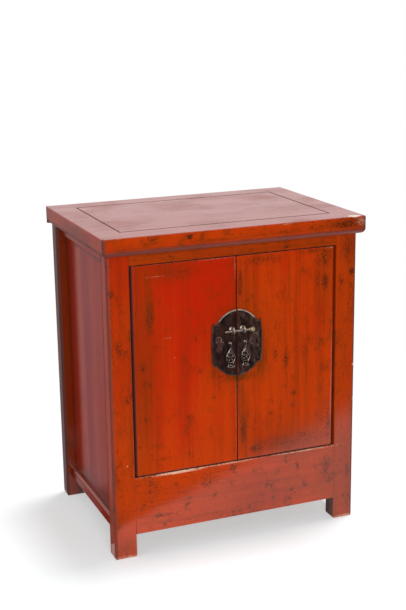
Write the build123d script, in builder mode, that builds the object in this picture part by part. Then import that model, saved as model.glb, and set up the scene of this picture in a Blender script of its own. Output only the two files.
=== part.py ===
from build123d import *
import os

# Chinese wedding cabinet: a lacquered frame with floating panels and a mitred top, two doors
# that turn on wooden pivots, a storage box under a lift-out floor board, and a lobed
# lock plate in two halves with ring staples, drop pendants and a sliding pin.
# Millimetres. +Z is up, the front faces -Y, and the origin is on the floor below the
# middle of the top.

# ---- the whole cabinet ----
HEIGHT = 850.0
TOP_WIDTH = 716.0
TOP_DEPTH = 512.0
SIDE_OVERHANG = 13.0
FRONT_OVERHANG = 22.0

# ---- the top: four mitred members round a floating panel ----
EDGE_FACE = 32.0
EDGE_ROUND_HIGH = 15.0
EDGE_ROUND_IN = 12.0
TOP_ARRIS = 1.5
SIDE_MEMBER = 67.0
FRONT_MEMBER = 71.0
BACK_MEMBER = 64.0
TOP_PANEL_THICK = 16.0
TOP_TONGUE = 8.0
TOP_TONGUE_THICK = 7.0
SHRINKAGE = 0.8
TOP_BATTEN_X = 110.0
TOP_BATTEN_WIDE = 36.0
TOP_BATTEN_HIGH = 22.0
TOP_KEY_ROOT_HALF = 11.0
TOP_KEY_HALF = 15.0
TOP_BATTEN_TENON_HALF = 12.0
TOP_BATTEN_TENON_DOWN = (20.0, 8.0)
CORNER_TENON_FROM_OPENING = 19.0
CORNER_TENON_FROM_SIDE = 23.0
CORNER_TENON_FROM_EDGE = 18.0
CORNER_TENON_UP = 13.0
CORNER_TENON_THICK = 10.0
ROUND_MIDDLE = 0.3

# ---- posts and rails ----
POST_WIDE = 59.0
POST_DEEP = 43.0
POST_OUTER_ROUND = 8.0
ARRIS = 2.0
FOOT_ROUND = 7.0
DOOR_HEAD = 775.0
DOOR_SILL = 219.0
APRON_LOW = 62.5
APRON_THICK = 24.0
FRONT_RAIL_DEEP = 30.0
SIDE_RAIL_SET_BACK = 14.0
SIDE_RAIL_THICK = 30.0
SIDE_RAIL_LOW = 58.0
SIDE_RAIL_HIGH = 33.0
SIDE_RAIL_BEAD = 9.0
SIDE_RAIL_SOFT = 5.0
BACK_RAIL_THICK = 24.0
BACK_RAIL_HIGH = 35.0
BACK_MIDDLE_RAIL = (470.0, 500.0)
TENON = 12.0
TENON_LONG = 18.0
SIDE_TENON_LONG = 14.0
TENON_SHOULDER = 5.0
POST_PEG_SHOULDER = 3.0
POST_PEG_HALF = 8.0
POST_PEG_HIGH = 25.0
APRON_TENON_EDGE = 22.0
APRON_TENON_WIDE = 40.0

# ---- panels, shelf and floors ----
PANEL_THICK = 10.0
SIDE_PANEL_SET_BACK = 26.0
BACK_PANEL_SET_BACK = 6.0
GROOVE = 8.0
RAIL_GROOVE = 6.0
PANEL_PLAY = 1.0
BOARD_THICK = 12.0
BEARER_HIGH = 22.0
BEARER_STUB = 10.0
SHELF_TOP = 500.0
SHELF_THICK = 14.0
BOTTOM_BOARD_LOW = 68.0
BOTTOM_SEAMS = (-70.0, 78.0)
LID_HALF_DEEP = 94.5
LID_GAP = 0.5
LID_END_GAP = 3.0
FINGER_HOLE = 12.0
FINGER_HOLE_Y = -68.0

# ---- doors ----
DOOR_THICK = 22.0
DOOR_RECESS = 1.0
HINGE_GAP = 3.0
SEAM_HALF = 1.5
DOOR_TOP_GAP = 2.0
DOOR_BOTTOM_GAP = 2.5
STILE_WIDE = 48.0
STILE_TONGUE = 8.0
STILE_TONGUE_THICK = 7.0
PIVOT_R = 7.0
PIVOT_CLEARANCE = 0.08
LOWER_PIVOT = 14.0
UPPER_PIVOT = 14.0
DOOR_BATTEN_Z = (300.0, 690.0)
DOOR_BATTEN_X = (5.0, 262.0)
DOOR_BATTEN_HALF = 20.0
DOOR_BATTEN_PROUD = 12.0
DOOR_BATTEN_TAPER = 3.0
DOOR_STOP_GAP = 0.3
DOVETAIL_DEEP = 5.0
DOVETAIL_ROOT_HALF = 14.0
DOVETAIL_HALF = 18.0

# ---- lock plate, in two halves ----
PLATE_THICK = 2.2
RIM_PROUD = 1.2
RIM_WIDE = 3.5
PLATE_SEAM_HALF = 2.2
PLATE_TOP = 634.5
PLATE_NOTCH_TOP = (57.0, 597.5)
PLATE_EAR_TOP = (66.5, 603.0)
PLATE_MIDDLE = (71.5, 545.0)
PLATE_EAR_LOW = (67.0, 488.5)
PLATE_NOTCH_LOW = (57.0, 486.5)
PLATE_FOOT = 456.5
LOBE_BULGE_OUT = 0.55
LOBE_BULGE_IN = 0.25
CLOUD_X = 51.0
CLOUD_Z = 544.5
CLOUD_LOBE_R = 7.5
CLOUD_LOBE_APART = 13.0
CLOUD_HEAD_IN = 7.0
CLOUD_BODY_WIDE = 8.0
CLOUD_TONGUE_R = 3.2
CLOUD_TONGUE_LONG = 16.0
CLOUD_TONGUE_OUT = 11.0
NAILS = ((14.0, 623.0), (57.0, 588.0), (59.5, 499.0), (14.0, 468.0))
NAIL_HEAD_R = 2.8
NAIL_HEAD_SIDES = 10
NAIL_HEAD_HIGH = 1.8
NAIL_HEAD_CHAMFER = 1.1
NAIL_SHANK = 2.0
NAIL_LONG = 12.0

# ---- staples, pin and pendants ----
STAPLE_X = 15.0
STAPLE_Z = 582.0
STAPLE_R = 10.0
STAPLE_SIDES = 24
STAPLE_BORE_R = 5.4
STAPLE_WIDE = 5.0
STAPLE_REACH = 12.5
STAPLE_CHAMFER = 1.4
BOSS_R = 7.5
BOSS_SIDES = 16
BOSS_HIGH = 2.6
BOSS_TAPER = 30.0
LEG_WIDE = 4.0
LEG_HIGH = 5.0
CLENCH_THICK = 2.0
CLENCH_HALF = 13.0
PIN_R = 2.9
PIN_NECK_R = 2.2
PIN_TAIL = -38.5
PIN_NECK = (-26.0, -23.0)
PIN_NECK_TAPER = 1.0
PIN_TIP_R = 1.4
PIN_TIP_LONG = 4.0
PIN_COLLAR_R = 4.6
PIN_COLLAR = (28.5, 32.0)
KNOB_R = 7.0
KNOB_LONG = 14.0
KNOB_CHAMFER = 2.4
KNOB_FLATS = 8
RIVET_R = 1.6
RIVET_PROUD = 0.8
PENDANT_X = 21.0
LOOP_Z = 547.0
LOOP_R = 5.8
LOOP_SIDES = 20
LOOP_BORE_R = 3.8
LOOP_WIDE = 2.0
LOOP_REACH = 9.0
LOOP_SHANK = 2.4
PENDANT_THICK = 2.0
PENDANT_EYE_R = 3.9
PENDANT_EYE_BORE_R = 2.0
NECK_HALF = 2.2
NECK_START = 1.0
VASE_SHOULDER = 533.0
VASE_BELLY = 510.0
VASE_HALF = 12.5
VASE_WAIST = 491.0
VASE_WAIST_HALF = 6.5
VASE_FOOT = 482.0
VASE_FOOT_HALF = 10.5
VASE_FOOT_RIM = 2.5
VASE_FOOT_ARCH = 0.5
VASE_DIAMOND_R = 3.2
VASE_HOLE_SIDES = 8
VASE_HOLES = ((0.0, 522.0, 2.2), (6.6, 513.5, 2.4), (4.8, 503.5, 1.9), (0.0, 489.0, 1.9))
PIN_GAP = 0.2
EYE_GAP = 0.5

# ---- places worked out from the sizes above ----
HALF_TOP = TOP_WIDTH / 2
TOP_FRONT = -TOP_DEPTH / 2
BACK = TOP_DEPTH / 2
SIDE = HALF_TOP - SIDE_OVERHANG
FRONT = TOP_FRONT + FRONT_OVERHANG
CARCASS_TOP = HEIGHT - EDGE_FACE - EDGE_ROUND_HIGH
OPENING = SIDE - POST_WIDE
FRONT_IN = FRONT + POST_DEEP
BACK_IN = BACK - POST_DEEP
RAIL_OUT = SIDE - SIDE_RAIL_SET_BACK
RAIL_IN = RAIL_OUT - SIDE_RAIL_THICK
PANEL_OUT = SIDE - SIDE_PANEL_SET_BACK
PANEL_IN = PANEL_OUT - PANEL_THICK
SIDE_RAIL_TOP = SIDE_RAIL_LOW + SIDE_RAIL_HIGH
BACK_PANEL_OUT = BACK - BACK_PANEL_SET_BACK
BACK_PANEL_IN = BACK_PANEL_OUT - PANEL_THICK
BACK_RAIL_IN = BACK - BACK_RAIL_THICK
BACK_HEAD = CARCASS_TOP - BACK_RAIL_HIGH
BACK_FOOT = SIDE_RAIL_LOW + BACK_RAIL_HIGH
APRON_BACK = FRONT + APRON_THICK
FLOOR_LOW = DOOR_SILL - BOARD_THICK
SHELF_LOW = SHELF_TOP - SHELF_THICK
BOTTOM_BOARD_TOP = BOTTOM_BOARD_LOW + BOARD_THICK
TOP_PANEL_LOW = HEIGHT - TOP_PANEL_THICK
INNER_TOP_X = HALF_TOP - SIDE_MEMBER
INNER_TOP_FRONT = TOP_FRONT + FRONT_MEMBER
INNER_TOP_BACK = BACK - BACK_MEMBER
DOOR_FACE = FRONT + DOOR_RECESS
DOOR_REAR = DOOR_FACE + DOOR_THICK
DOOR_LOW = DOOR_SILL + DOOR_BOTTOM_GAP
DOOR_HIGH = DOOR_HEAD - DOOR_TOP_GAP
PIVOT_X = OPENING - HINGE_GAP - DOOR_THICK / 2
PIVOT_Y = DOOR_FACE + DOOR_THICK / 2
STILE_IN = OPENING - HINGE_GAP - STILE_WIDE
PLATE_FACE = DOOR_FACE - PLATE_THICK
PIN_Y = DOOR_FACE - STAPLE_REACH
PIN_Z = STAPLE_Z - STAPLE_BORE_R + PIN_R + PIN_GAP
LOOP_Y = DOOR_FACE - LOOP_REACH
EYE_Z = LOOP_Z - LOOP_BORE_R - PENDANT_EYE_BORE_R + EYE_GAP
SIDES = {"left": -1, "right": 1}

os.makedirs("parts", exist_ok=True)


def keep(piece, name):
    """Labels a finished piece and writes it as a STEP file of its own."""
    piece.part.label = name
    export_step(piece.part, f"parts/{name}.step")


def block(x, y, z, mode=Mode.ADD):
    """A squared length of timber between three pairs of faces, or a mortise where it is cut."""
    sizes = [abs(pair[1] - pair[0]) for pair in (x, y, z)]
    with Locations(Vector(*[sum(pair) / 2 for pair in (x, y, z)])):
        Box(*sizes, mode=mode)


def at_side(side, near, far):
    """A span of X from the middle of the cabinet outwards, on the left (-1) or the right (+1)."""
    return (side * near, side * far)


# ---- joints of the frame: each tenon and its mortise are the same block ----
def rail_tenon(side, y_middle, low, high):
    """End of a front or back rail, in the inner face of a post."""
    x = at_side(side, OPENING, OPENING + TENON_LONG)
    return x, (y_middle - TENON / 2, y_middle + TENON / 2), (low, high)


def side_tenon(side, y_face, inward, low, high):
    """End of a side rail, in the face of a post that looks along the side of the cabinet."""
    x_middle = (RAIL_IN + RAIL_OUT) / 2
    x = at_side(side, x_middle - TENON / 2, x_middle + TENON / 2)
    return x, (y_face, y_face + inward * SIDE_TENON_LONG), (low, high)


def bearer_stub(side, y_face, inward, low):
    """Short tenon of a bearer that carries the shelf or the floor boards."""
    x = at_side(side, OPENING + TENON_SHOULDER, PANEL_IN - TENON_SHOULDER)
    z = (low + TENON_SHOULDER, low + BEARER_HIGH - TENON_SHOULDER)
    return x, (y_face, y_face + inward * BEARER_STUB), z


def post_peg(side, front):
    """Tenon on top of a post, in the underside of the front or back member of the top."""
    near = OPENING + POST_PEG_SHOULDER
    y_middle = (FRONT + FRONT_IN) / 2 if front else (BACK + BACK_IN) / 2
    y = (y_middle - POST_PEG_HALF, y_middle + POST_PEG_HALF)
    return at_side(side, near, near + TENON), y, (CARCASS_TOP, CARCASS_TOP + POST_PEG_HIGH)


SIDE_TOP_TENON = (DOOR_HEAD + RAIL_GROOVE, CARCASS_TOP - TENON_SHOULDER)
SIDE_LOW_TENON = (SIDE_RAIL_LOW + TENON_SHOULDER, SIDE_RAIL_TOP - RAIL_GROOVE)
FRONT_RAIL_TENON = (DOOR_HEAD + TENON_SHOULDER, CARCASS_TOP - TENON_SHOULDER)
APRON_TENONS = [
    (low, low + APRON_TENON_WIDE)
    for low in (APRON_LOW + APRON_TENON_EDGE, DOOR_SILL - APRON_TENON_EDGE - APRON_TENON_WIDE)
]
BACK_RAILS = {
    "back_bottom_rail": (SIDE_RAIL_LOW, BACK_FOOT),
    "back_middle_rail": BACK_MIDDLE_RAIL,
    "back_top_rail": (BACK_HEAD, CARCASS_TOP),
}
FRONT_RAIL_Y = FRONT + FRONT_RAIL_DEEP / 2
APRON_Y = FRONT + APRON_THICK / 2
BACK_RAIL_Y = BACK - BACK_RAIL_THICK / 2
BEARERS = {"floor": FLOOR_LOW - BEARER_HIGH, "shelf": SHELF_LOW - BEARER_HIGH}


def post(side, front):
    """A corner post. Its foot is rounded by wear, and its outer corner is softened."""
    outer = FRONT if front else BACK
    inner = FRONT_IN if front else BACK_IN
    inward = -1 if front else 1
    middle = (side * (SIDE + OPENING) / 2, (outer + inner) / 2)
    with BuildPart() as piece:
        with BuildSketch() as plan:
            with Locations(middle):
                Rectangle(POST_WIDE, POST_DEEP)
            corner = plan.vertices().sort_by_distance((side * SIDE, outer, 0))
            fillet(corner[0], POST_OUTER_ROUND)
            corner = plan.vertices().sort_by_distance((side * OPENING, outer, 0))
            fillet(corner[0], ARRIS)
            corner = plan.vertices().sort_by_distance((side * SIDE, inner, 0))
            fillet(corner[0], ARRIS)
        extrude(amount=CARCASS_TOP)
        with BuildSketch(Plane.XZ.offset(-middle[1])) as front_view:
            with Locations((middle[0], CARCASS_TOP / 2)):
                Rectangle(POST_WIDE, CARCASS_TOP)
            fillet(front_view.vertices().group_by(Axis.Y)[0], FOOT_ROUND)
        extrude(amount=POST_DEEP, both=True, mode=Mode.INTERSECT)
        with BuildSketch(Plane.YZ.offset(middle[0])) as side_view:
            with Locations((middle[1], CARCASS_TOP / 2)):
                Rectangle(POST_DEEP, CARCASS_TOP)
            fillet(side_view.vertices().group_by(Axis.Y)[0], FOOT_ROUND - ARRIS)
        extrude(amount=POST_WIDE, both=True, mode=Mode.INTERSECT)
        block(*post_peg(side, front))

        # mortises and the groove of the side panel
        block(*side_tenon(side, inner, inward, *SIDE_TOP_TENON), mode=Mode.SUBTRACT)
        block(*side_tenon(side, inner, inward, *SIDE_LOW_TENON), mode=Mode.SUBTRACT)
        groove = (SIDE_RAIL_TOP - RAIL_GROOVE, DOOR_HEAD + RAIL_GROOVE)
        across = at_side(side, PANEL_IN, PANEL_OUT)
        block(across, (inner, inner + inward * GROOVE), groove, mode=Mode.SUBTRACT)
        for low in BEARERS.values():
            block(*bearer_stub(side, inner, inward, low), mode=Mode.SUBTRACT)
        if front:
            block(*rail_tenon(side, FRONT_RAIL_Y, *FRONT_RAIL_TENON), mode=Mode.SUBTRACT)
            for span in APRON_TENONS:
                block(*rail_tenon(side, APRON_Y, *span), mode=Mode.SUBTRACT)
        else:
            for low, high in BACK_RAILS.values():
                tenon = rail_tenon(side, BACK_RAIL_Y, low + GROOVE, high - GROOVE)
                block(*tenon, mode=Mode.SUBTRACT)
            across = at_side(side, OPENING, OPENING + GROOVE)
            deep = (BACK_PANEL_IN, BACK_PANEL_OUT)
            block(across, deep, (BACK_FOOT, BACK_HEAD), mode=Mode.SUBTRACT)
    return piece


for side_name, side in SIDES.items():
    keep(post(side, True), f"front_{side_name}_post")
    keep(post(side, False), f"back_{side_name}_post")


# ---- front rail over the doors and apron below them, each with its pivot sockets ----
with BuildPart() as front_top_rail:
    block((-OPENING, OPENING), (FRONT, FRONT + FRONT_RAIL_DEEP), (DOOR_HEAD, CARCASS_TOP))
    for side in SIDES.values():
        block(*rail_tenon(side, FRONT_RAIL_Y, *FRONT_RAIL_TENON))
    with BuildSketch(Plane.XY.offset(DOOR_HEAD)):
        with Locations((-PIVOT_X, PIVOT_Y), (PIVOT_X, PIVOT_Y)):
            Circle(PIVOT_R + PIVOT_CLEARANCE)
    extrude(amount=UPPER_PIVOT, mode=Mode.SUBTRACT)
keep(front_top_rail, "front_top_rail")

with BuildPart() as apron:
    with BuildSketch(Plane.YZ.offset(-OPENING)) as section:
        with Locations((APRON_Y, (APRON_LOW + DOOR_SILL) / 2)):
            Rectangle(APRON_THICK, DOOR_SILL - APRON_LOW)
        fillet(section.vertices().group_by(Axis.X)[0], ARRIS)
    extrude(amount=2 * OPENING)
    for side in SIDES.values():
        for span in APRON_TENONS:
            block(*rail_tenon(side, APRON_Y, *span))
    groove = (APRON_BACK - RAIL_GROOVE, APRON_BACK)
    block((-OPENING, OPENING), groove, (BOTTOM_BOARD_LOW, BOTTOM_BOARD_TOP), mode=Mode.SUBTRACT)
    with BuildSketch(Plane.XY.offset(DOOR_SILL)):
        with Locations((-PIVOT_X, PIVOT_Y), (PIVOT_X, PIVOT_Y)):
            Circle(PIVOT_R + PIVOT_CLEARANCE)
    extrude(amount=DOOR_BOTTOM_GAP - LOWER_PIVOT, mode=Mode.SUBTRACT)
keep(apron, "apron")


# ---- side rails, side panels and the bearers behind them ----
def side_rail(side, low, high, tenon, groove_at_top):
    """A side rail: set back from the posts, softly rounded outside, grooved for the panel."""
    with BuildPart() as piece:
        with BuildSketch(Plane.XZ.offset(-FRONT_IN)) as section:
            with Locations((side * (RAIL_IN + RAIL_OUT) / 2, (low + high) / 2)):
                Rectangle(SIDE_RAIL_THICK, high - low)
            outer = section.vertices().sort_by_distance((side * RAIL_OUT, high, 0))
            fillet(outer[0], SIDE_RAIL_BEAD if groove_at_top else ARRIS)
            outer = section.vertices().sort_by_distance((side * RAIL_OUT, low, 0))
            fillet(outer[0], SIDE_RAIL_SOFT)
        extrude(amount=FRONT_IN - BACK_IN)
        block(*side_tenon(side, FRONT_IN, -1, *tenon))
        block(*side_tenon(side, BACK_IN, 1, *tenon))
        face = high if groove_at_top else low
        deep = face - RAIL_GROOVE if groove_at_top else face + RAIL_GROOVE
        across = at_side(side, PANEL_IN, PANEL_OUT)
        block(across, (FRONT_IN, BACK_IN), (face, deep), mode=Mode.SUBTRACT)
        if groove_at_top:
            across = at_side(side, RAIL_IN, RAIL_IN + RAIL_GROOVE)
            board = (BOTTOM_BOARD_LOW, BOTTOM_BOARD_TOP)
            block(across, (FRONT_IN, BACK_IN), board, mode=Mode.SUBTRACT)
    return piece


def bearer(side, low):
    """A rail inside the side panel, with a stub at each end in the posts."""
    with BuildPart() as piece:
        block(at_side(side, OPENING, PANEL_IN), (FRONT_IN, BACK_IN), (low, low + BEARER_HIGH))
        block(*bearer_stub(side, FRONT_IN, -1, low))
        block(*bearer_stub(side, BACK_IN, 1, low))
    return piece


for side_name, side in SIDES.items():
    rail = side_rail(side, DOOR_HEAD, CARCASS_TOP, SIDE_TOP_TENON, False)
    keep(rail, f"{side_name}_top_rail")
    rail = side_rail(side, SIDE_RAIL_LOW, SIDE_RAIL_TOP, SIDE_LOW_TENON, True)
    keep(rail, f"{side_name}_bottom_rail")
    for level, low in BEARERS.items():
        keep(bearer(side, low), f"{side_name}_{level}_bearer")
    with BuildPart() as side_panel:
        long = (FRONT_IN - GROOVE + PANEL_PLAY, BACK_IN + GROOVE - PANEL_PLAY)
        high = (SIDE_RAIL_TOP - RAIL_GROOVE, DOOR_HEAD + RAIL_GROOVE)
        block(at_side(side, PANEL_IN, PANEL_OUT), long, high)
    keep(side_panel, f"{side_name}_side_panel")


# ---- back: three rails and two panels ----
for name, (low, high) in BACK_RAILS.items():
    with BuildPart() as back_rail:
        block((-OPENING, OPENING), (BACK_RAIL_IN, BACK), (low, high))
        for side in SIDES.values():
            block(*rail_tenon(side, BACK_RAIL_Y, low + GROOVE, high - GROOVE))
        deep = (BACK_PANEL_IN, BACK_PANEL_OUT)
        if name != "back_bottom_rail":
            block((-OPENING, OPENING), deep, (low, low + RAIL_GROOVE), mode=Mode.SUBTRACT)
        if name != "back_top_rail":
            block((-OPENING, OPENING), deep, (high - RAIL_GROOVE, high), mode=Mode.SUBTRACT)
        if name == "back_bottom_rail":
            groove = (BACK_RAIL_IN, BACK_RAIL_IN + RAIL_GROOVE)
            board = (BOTTOM_BOARD_LOW, BOTTOM_BOARD_TOP)
            block((-OPENING, OPENING), groove, board, mode=Mode.SUBTRACT)
    keep(back_rail, name)

BACK_PANELS = {
    "back_lower_panel": (BACK_FOOT, BACK_MIDDLE_RAIL[0]),
    "back_upper_panel": (BACK_MIDDLE_RAIL[1], BACK_HEAD),
}
for name, (low, high) in BACK_PANELS.items():
    with BuildPart() as back_panel:
        deep = (BACK_PANEL_IN, BACK_PANEL_OUT)
        half = OPENING + GROOVE - PANEL_PLAY
        block((-half, half), deep, (low, high))
        block((-OPENING, OPENING), deep, (low - RAIL_GROOVE, high + RAIL_GROOVE))
    keep(back_panel, name)


# ---- boards of the bottom, the floor and the shelf, notched round the posts ----
def board(half_long, y, z):
    """A board across the cabinet. Where it reaches the posts, its corners are notched."""
    with BuildPart() as piece:
        block((-half_long, half_long), y, z)
        for side in SIDES.values():
            corner = at_side(side, OPENING, half_long)
            if y[0] < FRONT_IN:
                block(corner, (y[0], FRONT_IN), z, mode=Mode.SUBTRACT)
            if y[1] > BACK_IN:
                block(corner, (BACK_IN, y[1]), z, mode=Mode.SUBTRACT)
    return piece


BOTTOM_EDGES = (APRON_BACK - RAIL_GROOVE, *BOTTOM_SEAMS, BACK_RAIL_IN + RAIL_GROOVE)
for name, start, end in zip(("front", "middle", "back"), BOTTOM_EDGES, BOTTOM_EDGES[1:]):
    z = (BOTTOM_BOARD_LOW, BOTTOM_BOARD_TOP)
    keep(board(RAIL_IN + RAIL_GROOVE, (start, end), z), f"bottom_{name}_board")

FLOOR = (FLOOR_LOW, DOOR_SILL)
LID_EDGE = LID_HALF_DEEP + LID_GAP
keep(board(PANEL_IN, (APRON_BACK, -LID_EDGE), FLOOR), "floor_front_board")
keep(board(PANEL_IN, (LID_EDGE, BACK_PANEL_IN), FLOOR), "floor_back_board")

SHELF = (SHELF_LOW, SHELF_TOP)
DOOR_STOP = DOOR_REAR + DOOR_STOP_GAP
keep(board(PANEL_IN, (DOOR_STOP, 0), SHELF), "shelf_front_board")
keep(board(PANEL_IN, (0, BACK_RAIL_IN), SHELF), "shelf_back_board")

with BuildPart() as floor_lid:
    with BuildSketch(Plane.XY.offset(FLOOR_LOW)) as outline:
        Rectangle(2 * (PANEL_IN - LID_END_GAP), 2 * LID_HALF_DEEP)
        with Locations((0, FINGER_HOLE_Y)):
            Circle(FINGER_HOLE, mode=Mode.SUBTRACT)
    extrude(amount=BOARD_THICK)
keep(floor_lid, "floor_lid")


# ---- top: mitred members with a moulded edge, a floating panel and dovetailed battens ----
def edge_section(plane, outer, inner, moulded):
    """Section of a member: upright face, rounded undercut, groove for the panel inside."""
    inward = 1 if inner > outer else -1
    turn = outer + inward * EDGE_ROUND_IN if moulded else outer
    waist = (outer, CARCASS_TOP + EDGE_ROUND_HIGH) if moulded else (outer, CARCASS_TOP)
    with BuildSketch(plane) as section:
        with BuildLine():
            Polyline(
                waist,
                (outer, HEIGHT - TOP_ARRIS),
                (outer + inward * TOP_ARRIS, HEIGHT),
                (inner, HEIGHT),
                (inner, CARCASS_TOP),
                (turn, CARCASS_TOP),
            )
            if moulded:
                bulge = (
                    outer + inward * EDGE_ROUND_IN * ROUND_MIDDLE,
                    CARCASS_TOP + EDGE_ROUND_HIGH * ROUND_MIDDLE,
                )
                ThreePointArc((turn, CARCASS_TOP), bulge, waist)
        make_face()
        tongue = (inner - inward * TOP_TONGUE / 2, TOP_PANEL_LOW + TOP_TONGUE_THICK / 2)
        with Locations(tongue):
            Rectangle(TOP_TONGUE, TOP_TONGUE_THICK, mode=Mode.SUBTRACT)
    return section.sketch


def corner_tenon(side, front):
    """Tenon on the mitred end of a side member of the top, in the front or back member."""
    x = at_side(side, OPENING + CORNER_TENON_FROM_OPENING, HALF_TOP - CORNER_TENON_FROM_SIDE)
    if front:
        y = (TOP_FRONT + CORNER_TENON_FROM_EDGE, INNER_TOP_FRONT)
    else:
        y = (INNER_TOP_BACK, BACK - CORNER_TENON_FROM_EDGE)
    low = CARCASS_TOP + CORNER_TENON_UP
    return x, y, (low, low + CORNER_TENON_THICK)


def batten_tenon(side, front):
    """End of a top batten, in the inner face of the front or back member."""
    middle = side * TOP_BATTEN_X
    x = (middle - TOP_BATTEN_TENON_HALF, middle + TOP_BATTEN_TENON_HALF)
    y = (INNER_TOP_FRONT - TENON, INNER_TOP_FRONT) if front else (INNER_TOP_BACK, INNER_TOP_BACK + TENON)
    low, high = [TOP_PANEL_LOW - down for down in TOP_BATTEN_TENON_DOWN]
    return x, y, (low, high)


for name, outer, inner in (
    ("front", TOP_FRONT, INNER_TOP_FRONT),
    ("back", BACK, INNER_TOP_BACK),
):
    front = name == "front"
    with BuildPart() as top_member:
        extrude(edge_section(Plane.YZ.offset(-HALF_TOP), outer, inner, front), amount=TOP_WIDTH)
        with BuildSketch(Plane.XY.offset(CARCASS_TOP)):
            with BuildLine():
                Polyline(
                    (-HALF_TOP, outer),
                    (HALF_TOP, outer),
                    (INNER_TOP_X, inner),
                    (-INNER_TOP_X, inner),
                    close=True,
                )
            make_face()
        extrude(amount=HEIGHT - CARCASS_TOP, mode=Mode.INTERSECT)
        for side in SIDES.values():
            block(*corner_tenon(side, front), mode=Mode.SUBTRACT)
            block(*batten_tenon(side, front), mode=Mode.SUBTRACT)
            block(*post_peg(side, front), mode=Mode.SUBTRACT)
    keep(top_member, f"top_{name}_member")

for side_name, side in SIDES.items():
    with BuildPart() as top_member:
        section = edge_section(Plane.XZ.offset(-BACK), side * HALF_TOP, side * INNER_TOP_X, True)
        extrude(section, amount=TOP_DEPTH)
        with BuildSketch(Plane.XY.offset(CARCASS_TOP)):
            with BuildLine():
                Polyline(
                    (side * HALF_TOP, TOP_FRONT),
                    (side * HALF_TOP, BACK),
                    (side * INNER_TOP_X, INNER_TOP_BACK),
                    (side * INNER_TOP_X, INNER_TOP_FRONT),
                    close=True,
                )
            make_face()
        extrude(amount=HEIGHT - CARCASS_TOP, mode=Mode.INTERSECT)
        for front in (True, False):
            block(*corner_tenon(side, front))
    keep(top_member, f"top_{side_name}_member")


def top_key(plane, across):
    """Section of the dovetail that holds a batten to the underside of the panel."""
    with BuildSketch(plane) as section:
        with BuildLine():
            Polyline(
                (across - TOP_KEY_ROOT_HALF, TOP_PANEL_LOW),
                (across + TOP_KEY_ROOT_HALF, TOP_PANEL_LOW),
                (across + TOP_KEY_HALF, TOP_PANEL_LOW + DOVETAIL_DEEP),
                (across - TOP_KEY_HALF, TOP_PANEL_LOW + DOVETAIL_DEEP),
                close=True,
            )
        make_face()
    return section.sketch


with BuildPart() as top_panel:
    long = (INNER_TOP_FRONT + SHRINKAGE, INNER_TOP_BACK - SHRINKAGE)
    half = INNER_TOP_X - SHRINKAGE
    block((-half, half), long, (TOP_PANEL_LOW, HEIGHT))
    half = INNER_TOP_X + TOP_TONGUE - SHRINKAGE
    long = (INNER_TOP_FRONT - TOP_TONGUE + SHRINKAGE, INNER_TOP_BACK + TOP_TONGUE - SHRINKAGE)
    block((-half, half), long, (TOP_PANEL_LOW, TOP_PANEL_LOW + TOP_TONGUE_THICK))
    for side in SIDES.values():
        key = top_key(Plane.XZ, side * TOP_BATTEN_X)
        extrude(key, amount=TOP_DEPTH, both=True, mode=Mode.SUBTRACT)
keep(top_panel, "top_panel")

for side_name, side in SIDES.items():
    with BuildPart() as top_batten:
        middle = side * TOP_BATTEN_X
        span = (middle - TOP_BATTEN_WIDE / 2, middle + TOP_BATTEN_WIDE / 2)
        high = (TOP_PANEL_LOW - TOP_BATTEN_HIGH, TOP_PANEL_LOW)
        block(span, (INNER_TOP_FRONT, INNER_TOP_BACK), high)
        key = top_key(Plane.XZ.offset(-INNER_TOP_BACK), middle)
        extrude(key, amount=INNER_TOP_BACK - INNER_TOP_FRONT)
        for front in (True, False):
            block(*batten_tenon(side, front))
    keep(top_batten, f"top_{side_name}_batten")


# ---- doors ----
def batten_housings(side):
    """Dovetailed housings across the rear of a door, open at the seam for the battens."""
    for z in DOOR_BATTEN_Z:
        with BuildSketch(Plane.YZ) as housing:
            with BuildLine():
                Polyline(
                    (DOOR_REAR, z - DOVETAIL_ROOT_HALF),
                    (DOOR_REAR, z + DOVETAIL_ROOT_HALF),
                    (DOOR_REAR - DOVETAIL_DEEP, z + DOVETAIL_HALF),
                    (DOOR_REAR - DOVETAIL_DEEP, z - DOVETAIL_HALF),
                    close=True,
                )
            make_face()
        extrude(housing.sketch, amount=side * DOOR_BATTEN_X[1], mode=Mode.SUBTRACT)


def staple_legs(side):
    """The pair of legs of a ring staple, through the plate and the door, spread behind it."""
    x = at_side(side, STAPLE_X - LEG_WIDE / 2, STAPLE_X + LEG_WIDE / 2)
    through = (DOOR_FACE - PLATE_THICK - BOSS_HIGH, DOOR_REAR)
    return x, through, (STAPLE_Z - LEG_HIGH / 2, STAPLE_Z + LEG_HIGH / 2)


def loop_shank(side):
    """The shank of a pendant's loop, through the plate and the door."""
    x = at_side(side, PENDANT_X - LOOP_SHANK / 2, PENDANT_X + LOOP_SHANK / 2)
    return x, (LOOP_Y + LOOP_BORE_R, DOOR_REAR), (LOOP_Z - LOOP_SHANK / 2, LOOP_Z + LOOP_SHANK / 2)


def nail_shank(side, x, z):
    """A forged nail's square shank."""
    half = NAIL_SHANK / 2
    return at_side(side, x - half, x + half), (PLATE_FACE, DOOR_FACE + NAIL_LONG), (z - half, z + half)


def metal_holes(side):
    """Holes for the staple, the pendant's loop and the nails, in a door board or a plate."""
    block(*staple_legs(side), mode=Mode.SUBTRACT)
    block(*loop_shank(side), mode=Mode.SUBTRACT)
    for x, z in NAILS:
        block(*nail_shank(side, x, z), mode=Mode.SUBTRACT)


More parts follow.
